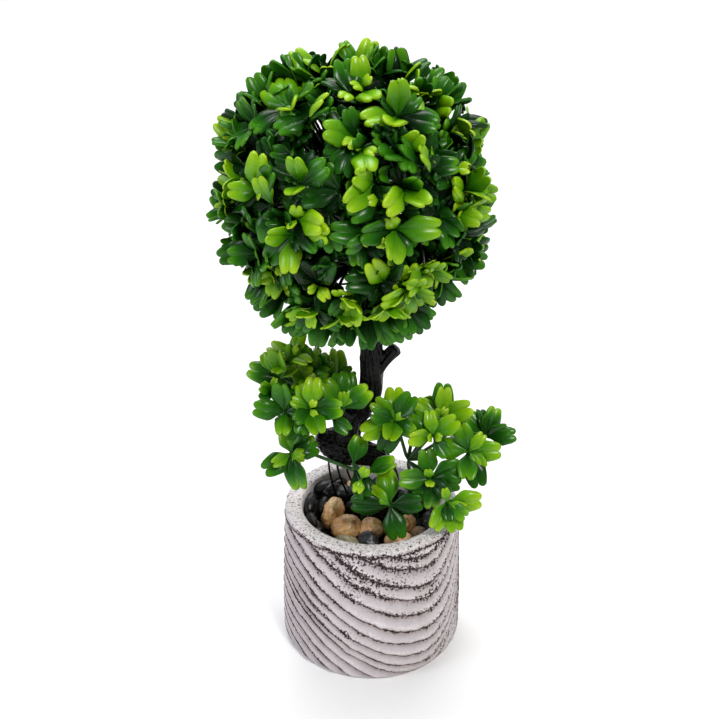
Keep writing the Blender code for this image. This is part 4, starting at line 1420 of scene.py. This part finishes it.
# %% Front spray
FRONT_FOOT = (-4.6, 3.0, 60.3)
FRONT_FORK = (-4.0, -9.0, 100.5)
FRONT_SEEN = [
    ((390, 506, -24), 0, 18, [
        ((351, 507), 19, "dark"), ((422, 504), 16, "dark"), ((398, 540), 16.5, "deep"),
        ((386, 470), 17.5, "mid"), ((370, 489), 11.5, "inner"),
    ]),
    ((353, 464, -15), -5, 35, [((361, 436), 14, "tipped")]),
    ((361, 479, -22), -10, 15, [((366, 468), 6.5, "young"), ((357, 491), 6.5, "young")]),
    ((366, 471, -17), 10, 78, [((396, 461), 15.5, "tipped")]),
    ((354, 470, -17), 0, 20, [((365, 498), 15, "dark")]),
    ((291, 454, -12), -12, 18, [
        ((282, 431), 12.5, "bright"), ((310, 434), 12.5, "tipped"), ((318, 449), 13.5, "deep"),
        ((262, 472), 16.5, "deep"), ((295, 490), 17, "tipped"), ((272, 464), 11, "inner"),
        ((302, 454), 6, "young"), ((301, 464), 6, "young"),
    ]),
]
grow_spray("front_spray", FRONT_FOOT, FRONT_FORK, seen_whorls(FRONT_SEEN), "front_spray", chance)

# %% [markdown]
# ## The ball
# The real ball is a few dozen sprigs that leave the trunk's top on thin stems and are bent until the
# leaves lie on a sphere. Their whorls are spread by the golden angle, which leaves no rows, and then
# jittered. Leaves that would close a gap which the sky shows through are left out.

# %% Ball sizes
BALL_CENTRE = Vector((-9.0, 0.0, 241.0))
BALL_RADIUS = 63.5
TRUNK_TOP = [(-2.0, 196.0), (-8.2, 240.0)]
TWIG_RISE = 6.0
print("ball:", 2 * BALL_RADIUS, "mm across, its middle", BALL_CENTRE.z, "mm up")


# %% Directions and feet of the stems
def sphere_directions(count):
    """Directions spread evenly over a sphere."""
    for i in range(count):
        z = 1 - (2 * i + 1) / count
        angle = i * math.pi * (3 - math.sqrt(5))
        across = math.sqrt(1 - z * z)
        yield Vector((across * math.cos(angle), across * math.sin(angle), z))


def twig_foot(tip):
    """Where on the trunk's top a twig leaves for its tip."""
    (low_x, low), (high_x, high) = TRUNK_TOP
    height = min(max((tip.z + BALL_CENTRE.z) / 2 - TWIG_RISE, low), high)
    return Vector((low_x + (height - low) / (high - low) * (high_x - low_x), TRUNK_Y, height))


# %% Gaps that the sky shows through
# Each gap has x and z on the ball's middle plane and a radius.
SKY_GAPS = [(-26.5, 270.7, 1.6), (-30.2, 263.0, 1.2), (-16.9, 202.2, 3.2), (-13.2, 198.3, 2.2)]
HALF_A_LEAF = 0.14
TIPS_PAST_BALL = 7.0


def in_a_gap(root, along, length):
    """True if a leaf would close one of the gaps that the sky shows through, seen from the front."""
    view = Vector(CAMERA_PLACE)
    for x, z, radius in SKY_GAPS:
        line = (Vector((x, 0, z)) - view).normalized()
        for part in (0.35, 0.65, 0.95):
            point = root + along * length * part - view
            if (point - line * point.dot(line)).length < radius + HALF_A_LEAF * length:
                return True
    return False


def open_gaps(leaves):
    """The leaves that close no gap and end within the ball's reach."""
    kept = []
    for leaf in leaves:
        along = Vector(leaf[1].col[1])
        reach = leaf[2] + along * leaf[3] - BALL_CENTRE
        if reach.length < BALL_RADIUS + TIPS_PAST_BALL and not in_a_gap(leaf[2], along, leaf[3]):
            kept.append(leaf)
    return kept


# %% [markdown]
# ### Sprigs on the side that is seen
# Here the outer sprigs are placed through the camera, each by where its root and its leaves'
# tips come in the picture. A whorl placed this way can lean, lack a leaf or turn its bright leaves out,
# which chance alone wouldn't give.

# %% Sprigs placed through the camera
# Each sprig has its root's pixels across and down, and its leaves. A leaf has its tip's pixels and
# its tone, and some have their tip's distance from the ball's middle. A few are listed by their clock.
BALL_SPRIGS = [
    ((361, 54), [
        ((349, 37), "mid"), ((374, 37), "bright"), ((342, 44), "mid"), ((363, 36), "bright"),
        ((380, 45), "mid"),
    ]),
    ((331, 74), [((337, 40), "bright"), ((316, 55), "dark"), ((300, 77), "mid"), ((330, 84), "mid")]),
    ((387, 72), [((380, 45), "mid"), ((391, 54), "deep"), ((374, 54), "mid")]),
    ((363, 88), [((361, 55), "bright"), ((392, 62), "dark"), ((349, 64), "deep"), ((376, 93), "bright")]),
    ((311, 74), [
        ((293, 54), "bright"), ((299, 45), "bright"), ((313, 50), "deep"), ((327, 70), "mid"),
        ((292, 68), "mid"),
    ]),
    ((350, 93), [((341, 59), "mid"), ((328, 72), "deep"), ((352, 62), "mid"), ((340, 88), "young")]),
    ((405, 74), [((396, 46), "mid"), ((409, 47), "dark"), ((421, 51), "deep"), ((424, 60), "bright")]),
    ((405, 92), [((413, 73), "bright"), ((426, 99), "bright")]),
    ((286, 66), [((289, 51), "mid"), ((277, 54), "mid"), ((264, 61), "mid")]),
    ((287, 106), [
        ((257, 82), "bright"), ((281, 62), "bright"), ((317, 84), "mid"), ((248, 116), "tipped"),
        ((256, 129), "dark"), ((284, 144), "mid"), ((294, 110), "bright"), ((310, 112), "dark"),
    ]),
    ((429, 96), [((423, 65), "deep"), ((441, 71), "tipped"), ((414, 72), "mid"), ((446, 65), "mid")]),
    ((308, 114), [((317, 93), "bright"), ((331, 105), "mid"), (230, 60, 15, "mid")]),
    ((399, 116), [
        ((398, 78), "bright"), ((438, 119), "tipped"), ((366, 106), "bright"), ((384, 95), "deep"),
        ((418, 92), "mid"), ((448, 112), "mid"), ((390, 126), "bright"), ((380, 132), "dark"),
    ]),
    ((433, 105), [((457, 102), "bright"), ((450, 92), "mid")]),
    ((262, 106), [((250, 73), "mid"), ((245, 87), "mid"), ((258, 71), "tipped"), ((234, 93), "deep")]),
    ((452, 98), [
        ((459, 92), "mid"), ((465, 75), "mid"), ((473, 80), "mid"), ((449, 76), "mid"),
        ((474, 100), "deep"),
    ]),
    ((354, 138), [
        ((330, 127), "bright"), ((333, 152), "deep"), ((343, 168), "deep"), ((335, 107), "dark"),
        ((349, 108), "mid"), ((345, 141), "young"),
    ]),
    ((460, 112), [((488, 110), "dark"), ((478, 126), "bright"), ((457, 134), "mid")]),
    ((363, 150), [((367, 162), "bright"), ((360, 138), "mid")]),
    ((250, 130), [((228, 99), "mid"), ((238, 94), "tipped"), ((222, 110), "mid"), ((213, 108), "dark")]),
    ((405, 150), [
        ((422, 132), "bright"), ((400, 127), "deep"), ((386, 130), "dark"), ((383, 156), "mid"),
        ((412, 165), "mid"), ((372, 150), "dark"),
    ]),
    ((291, 154), [((303, 118), "bright", 59.5), ((258, 131), "deep", 55), ((270, 150), "mid", 52.5)]),
    ((238, 138), [((211, 123), "bright"), ((210, 137), "mid"), ((222, 128), "mid")]),
    ((430, 167), [((415, 140), "tipped"), ((434, 150), "bright"), ((459, 163), "tipped")]),
    ((464, 150), [
        ((492, 124), "bright"), ((460, 150), "shade"), ((489, 147), "bright"), ((470, 170), "deep"),
    ]),
    ((240, 152), [((213, 148), "mid"), ((218, 139), "bright"), ((220, 157), "mid")]),
    ((374, 182), [
        ((365, 178), "bright"), ((338, 210), "bright"), ((398, 170), "shade"), ((390, 195), "dark"),
    ]),
    ((455, 166), [
        ((496, 157), "mid"), ((494, 171), "tipped"), ((479, 150), "mid"), ((452, 178), "deep"),
    ]),
    ((246, 168), [((218, 160), "deep", 55), ((217, 175), "mid", 55), ((232, 182), "bright", 57)]),
    ((301, 184), [((320, 165), "mid"), (275, 27, 12, "bright"), (95, 31, 13.5, "bright")]),
    ((340, 192), [((301, 196), "deep", 55), ((322, 210), "dark", 52.5), (120, 60, 12, "mid")]),
    ((405, 188), [
        ((398, 206), "bright"), ((428, 206), "bright"), ((421, 178), "tipped"), ((398, 168), "dark"),
    ]),
    ((380, 199), [((358, 216), "mid"), ((395, 190), "deep")]),
    ((257, 192), [
        ((250, 159), "bright"), ((280, 157), "mid"), ((227, 190), "bright"), ((226, 208), "deep"),
        ((264, 191), "young"),
    ]),
    ((328, 212), [((330, 248), "mid"), ((344, 236), "shade"), ((318, 206), "dark")]),
    ((270, 206), [((262, 243), "mid", 57), ((248, 222), "dark", 52.5), (110, 55, 13, "bright")]),
    ((462, 200), [((464, 179), "bright"), ((473, 180), "bright"), ((455, 200), "young")]),
    ((297, 219), [((322, 240), "bright"), ((323, 256), "tipped"), ((318, 227), "bright")]),
    ((236, 198), [((210, 187), "dark"), ((214, 207), "deep"), ((222, 194), "deep")]),
    ((470, 198), [((489, 216), "deep"), ((490, 196), "mid"), ((484, 181), "mid")]),
    ((443, 217), [((455, 246), "mid"), ((464, 234), "mid"), ((430, 205), "shade")]),
    ((455, 212), [((481, 219), "bright"), ((474, 208), "mid")]),
    ((396, 230), [
        ((438, 230), "bright"), ((356, 235), "mid"), ((393, 264), "bright"), ((409, 257), "mid"),
        ((389, 218), "young"),
    ]),
    ((372, 240), [((340, 230), "mid"), ((352, 252), "mid"), ((380, 258), "dark")]),
    ((291, 236), [
        ((263, 263), "mid"), ((264, 236), "bright"), ((283, 272), "bright"), ((290, 250), "deep"),
    ]),
    ((248, 226), [((220, 222), "mid"), ((226, 234), "tipped"), ((240, 215), "deep")]),
    ((466, 237), [((501, 226), "deep"), ((488, 243), "bright"), ((470, 250), "dark")]),
    ((262, 250), [
        ((222, 254), "deep"), ((245, 268), "mid"), ((238, 287), "dark"), ((266, 270), "tipped"),
    ]),
    ((233, 257), [((212, 262), "mid"), ((236, 245), "deep")]),
    ((286, 262), [((281, 282), "mid"), ((272, 274), "deep"), ((292, 277), "dark")]),
    ((426, 264), [((418, 294), "bright"), ((430, 285), "deep")]),
    ((470, 262), [((490, 263), "mid"), ((477, 278), "mid"), ((473, 247), "deep")]),
    ((440, 263), [
        ((478, 244), "bright"), ((466, 257), "mid"), ((452, 264), "mid"), ((438, 242), "deep"),
    ]),
    ((435, 268), [((443, 296), "tipped"), ((458, 268), "mid")]),
    ((385, 283), [((376, 270), "bright"), ((356, 284), "deep"), ((402, 262), "dark")]),
    ((318, 286), [((292, 261), "dark"), ((322, 267), "deep"), ((300, 290), "shade")]),
    ((263, 282), [
        ((243, 297), "tipped"), ((250, 306), "mid"), ((244, 278), "bright"), ((258, 300), "mid"),
    ]),
    ((447, 285), [((454, 304), "mid"), ((470, 291), "mid"), ((440, 309), "deep"), ((462, 276), "mid")]),
    ((401, 286), [
        ((420, 269), "bright"), ((394, 313), "bright"), ((421, 312), "bright"), ((369, 319), "deep"),
        ((404, 290), "young"),
    ]),
    ((283, 294), [
        ((262, 309), "mid"), ((264, 299), "tipped"), ((281, 316), "mid"), ((297, 300), "mid"),
        ((282, 287), "young"),
    ]),
    ((290, 320), [((273, 328), "mid"), ((296, 311), "mid"), ((284, 336), "mid")]),
    ((409, 312), [((428, 316), "tipped"), ((422, 328), "deep"), ((408, 331), "mid")]),
    ((398, 324), [((412, 345), "mid"), ((404, 338), "tipped")]),
    ((321, 301), [((348, 320), "mid"), ((298, 303), "deep"), ((322, 318), "dark")]),
    ((318, 322), [
        ((318, 351), "mid"), ((292, 334), "bright"), ((333, 347), "mid"), ((300, 345), "tipped"),
    ]),
    ((390, 320), [((396, 337), "mid"), ((379, 337), "mid"), ((400, 326), "tipped")]),
    ((372, 326), [((368, 346), "mid"), ((386, 347), "mid"), ((358, 330), "tipped"), ((384, 318), "mid")]),
    ((348, 322), [
        ((346, 341), "mid"), ((337, 346), "tipped"), ((360, 341), "mid"), ((336, 325), "deep"),
    ]),
]
print("sprigs placed by eye:", len(BALL_SPRIGS))

# %% [markdown]
# ### Sides, back and inside
# On the sides and the back each whorl is grown at random, in a mix of bright, middling and dark ones,
# because the sprigs are tinted in different dips, and all but the bright and young leaves are tinted some
# steps darker, as painted shade. On the side that is seen the same loop gives a layer of whorls in darker
# tones, painted shade, under those listed. Each stem also carries a whorl further in, as the sprigs do,
# tinted in the darkest tones as painted shade, so the ball looks deep and nearly black inside.

# %% Whorl of the ball
BALL_WIDEST = 10.8


def ball_whorl(leaves, place, axis, turn, kind, tone, young, chance, **choices):
    """A whorl of two crossed pairs with a young pair, turned at random and a little uneven."""
    lengths, spread = kind
    plan = []
    for quarter in range(4):
        clock = math.degrees(turn) + quarter * 90 + chance.gauss(0, 8)
        leaf_tone = tone if chance.random() < 0.8 else chance.choice(("deep", "mid"))
        plan.append((clock, spread + chance.gauss(0, 8), chance.uniform(*lengths), leaf_tone))
    if young:
        clock = math.degrees(turn) + 45 + chance.gauss(0, 15)
        for half in (0, 180):
            plan.append((clock + half, chance.uniform(25, 50), chance.uniform(5.5, 8.0), "young"))
    whorl(leaves, place, axis, plan, chance, BALL_WIDEST, **choices)


# %% Whorls all round
BALL_WHORLS = 150
BALL_REACH = (48.0, 57.0)
LAYER_REACH = (42.0, 48.0)
# Painted shade: steps darker for the ball's leaves, all but bright, inner and young ones, and for the layer
# under the listed sprigs.
BALL_SHADE_STEPS = 5.3
LAYER_SHADE_STEPS = 1.0
BALL_SHAPES = (2, 3, 6, 1, 4)
SEEN_SIDE = facing(0, 25)
SEEN_EDGE = 0.42
STEM_SHORT = 1.2
SIDE_TONES = ("bright", "mid", "deep", "dark")
WITH_YOUNG = 0.75
INNER_AT = 0.72
# Each kind of whorl has its leaves' lengths and how far they open. Each stem has its radii.
SIDE_WHORL = ((11.0, 14.5), 46)
LAYER_WHORL = ((9.0, 13.0), 58)
INNER_WHORL = ((11.0, 14.0), 62)
SPRIG_STEM = (0.8, 0.65)
LAYER_STEM = (0.7, 0.55)
INNER_STEM = (0.6, 0.5)

chance = random.Random(11)
outer_leaves = []
inner_leaves = []
stems = []
for direction in sphere_directions(BALL_WHORLS):
    jitter = Vector([chance.uniform(-0.1, 0.1) for _ in range(3)])
    outward = (direction + jitter).normalized()
    lean = Vector([chance.uniform(-0.35, 0.35) for _ in range(3)])
    axis = (outward + lean).normalized()
    tip = BALL_CENTRE + outward * chance.uniform(*BALL_REACH)
    route = twig_route(twig_foot(tip), tip, axis)
    turn = chance.uniform(0, math.tau)
    if outward.dot(SEEN_SIDE) < SEEN_EDGE:
        stems.append((route, *SPRIG_STEM))
        tone = chance.choices(SIDE_TONES, weights=(5, 3, 2, 1))[0]
        young = chance.random() < WITH_YOUNG
        choices = {"shapes": BALL_SHAPES, "dim": BALL_SHADE_STEPS}
        ball_whorl(outer_leaves, tip, axis, turn, SIDE_WHORL, tone, young, chance, **choices)
    else:
        layer_tip = BALL_CENTRE + outward * chance.uniform(*LAYER_REACH)
        stems.append((twig_route(twig_foot(layer_tip), layer_tip - axis * STEM_SHORT, axis), *LAYER_STEM))
        # The layer takes the darker tones, painted shade under the outer whorls.
        tone = chance.choice(("deep", "dark", "shade"))
        ball_whorl(outer_leaves, layer_tip, axis, turn, LAYER_WHORL, tone, False, chance, dim=LAYER_SHADE_STEPS)
    inner_axis = (outward + Vector([chance.uniform(-0.9, 0.9) for _ in range(3)])).normalized()
    inner_tip = BALL_CENTRE + (tip - BALL_CENTRE) * INNER_AT + inner_axis * 6
    stems.append((twig_route(Vector(route[len(route) // 2]), inner_tip, inner_axis, 4), *INNER_STEM))
    # The whorls further in take the darkest tones, painted shade inside the ball.
    tone = chance.choice(("shade", "shade", "dark"))
    ball_whorl(inner_leaves, inner_tip, inner_axis, turn, INNER_WHORL, tone, False, chance, deep=True)
print("leaves grown all round:", len(outer_leaves), "and further in:", len(inner_leaves))

# %% [markdown]
# ### Sprigs in place
# The listed sprigs lean a little towards the light, as a clipped ball's do, and those that hang
# under it reach further down. At the sides their leaves are rolled more, since they are seen edge on.
# Bright leaves are the ones that stand out into the light, so each tone has its own distance from the
# ball's middle, and the line of sight meets the sphere of that size at the leaf's tip.

# %% Where a sprig and its leaves are
SPRIG_REACH = 50.0
TIP_REACH = {"young": 63, "bright": 62.5, "tipped": 61, "mid": 59.5, "deep": 57, "dark": 55, "shade": 52.5}
YOUNG_LENGTH = 7.5
LONGEST = 18.0


def on_the_ball(seen):
    """The azimuth and elevation on the ball of a sprig's root, from where it is seen."""
    out = on_sphere(seen, np.array(BALL_CENTRE), SPRIG_REACH) - np.array(BALL_CENTRE)
    elevation = math.asin(out[2] / np.linalg.norm(out))
    return round(math.degrees(math.atan2(out[0], -out[1]))), round(math.degrees(elevation))


def sprig_plan(leaves, place, axis):
    """A whorl's plan from where the tips of its leaves are seen."""
    plan = []
    for leaf in leaves:
        if isinstance(leaf[0], tuple):
            seen, tone, *reach = leaf
            tip = on_sphere(seen, np.array(BALL_CENTRE), *(reach or [TIP_REACH[tone]]))
            clock, spread, length = clock_and_spread(tip - np.array(place), axis)
            leaf = (clock, spread, YOUNG_LENGTH if tone == "young" else min(LONGEST, length), tone)
        plan.append(leaf)
    return plan


# %% Sprigs in place
HANGING_REACH = 53.5
HANGING_FROM = -45
TURN_TO_LIGHT = 0.4
ROLLED_BELOW = -30
ROLLED_PAST = 80
ROLLS = (14, 45)
WITH_YOUNG_BY_EYE = 0.4

for seen, leaves in BALL_SPRIGS:
    azimuth, elevation = on_the_ball(seen)
    outward = facing(azimuth, elevation)
    axis = (outward + SEEN_SIDE * TURN_TO_LIGHT).normalized()
    plan = sprig_plan(leaves, BALL_CENTRE + outward * SPRIG_REACH, axis)
    tip = BALL_CENTRE + outward * (HANGING_REACH if elevation < HANGING_FROM else SPRIG_REACH)
    stems.append((twig_route(twig_foot(tip), tip - axis * STEM_SHORT, axis), *SPRIG_STEM))
    if chance.random() < WITH_YOUNG_BY_EYE:
        clock = chance.uniform(0, 360)
        plan = plan + [(clock, 35, 6.5, "young"), (clock + 180, 35, 5.5, "young")]
    roll = ROLLS[elevation < ROLLED_BELOW or abs(azimuth) > ROLLED_PAST]
    whorl(outer_leaves, tip, axis, plan, chance, BALL_WIDEST, shapes=BALL_SHAPES, roll=roll, dim=BALL_SHADE_STEPS)
print("leaves with those placed by eye:", len(outer_leaves))

# %% [markdown]
# ### Pieces of the ball
# Each piece is kept under 200,000 triangles. The outer leaves are dealt out to four pieces in turn.

# %% Ball pieces
OUTER_PIECES = 4

outer_leaves = open_gaps(outer_leaves)
ball_pieces = []
for part in range(OUTER_PIECES):
    ball_pieces.append(build_leaves(f"ball_leaves_{part + 1}", outer_leaves[part::OUTER_PIECES]))
ball_pieces.append(build_leaves("ball_leaves_inner", open_gaps(inner_leaves)))
ball_pieces.append(build_stems("ball_stems", stems, stem_painted_shade))
for piece in ball_pieces:
    dress(piece, "foliage", "crown_ball")
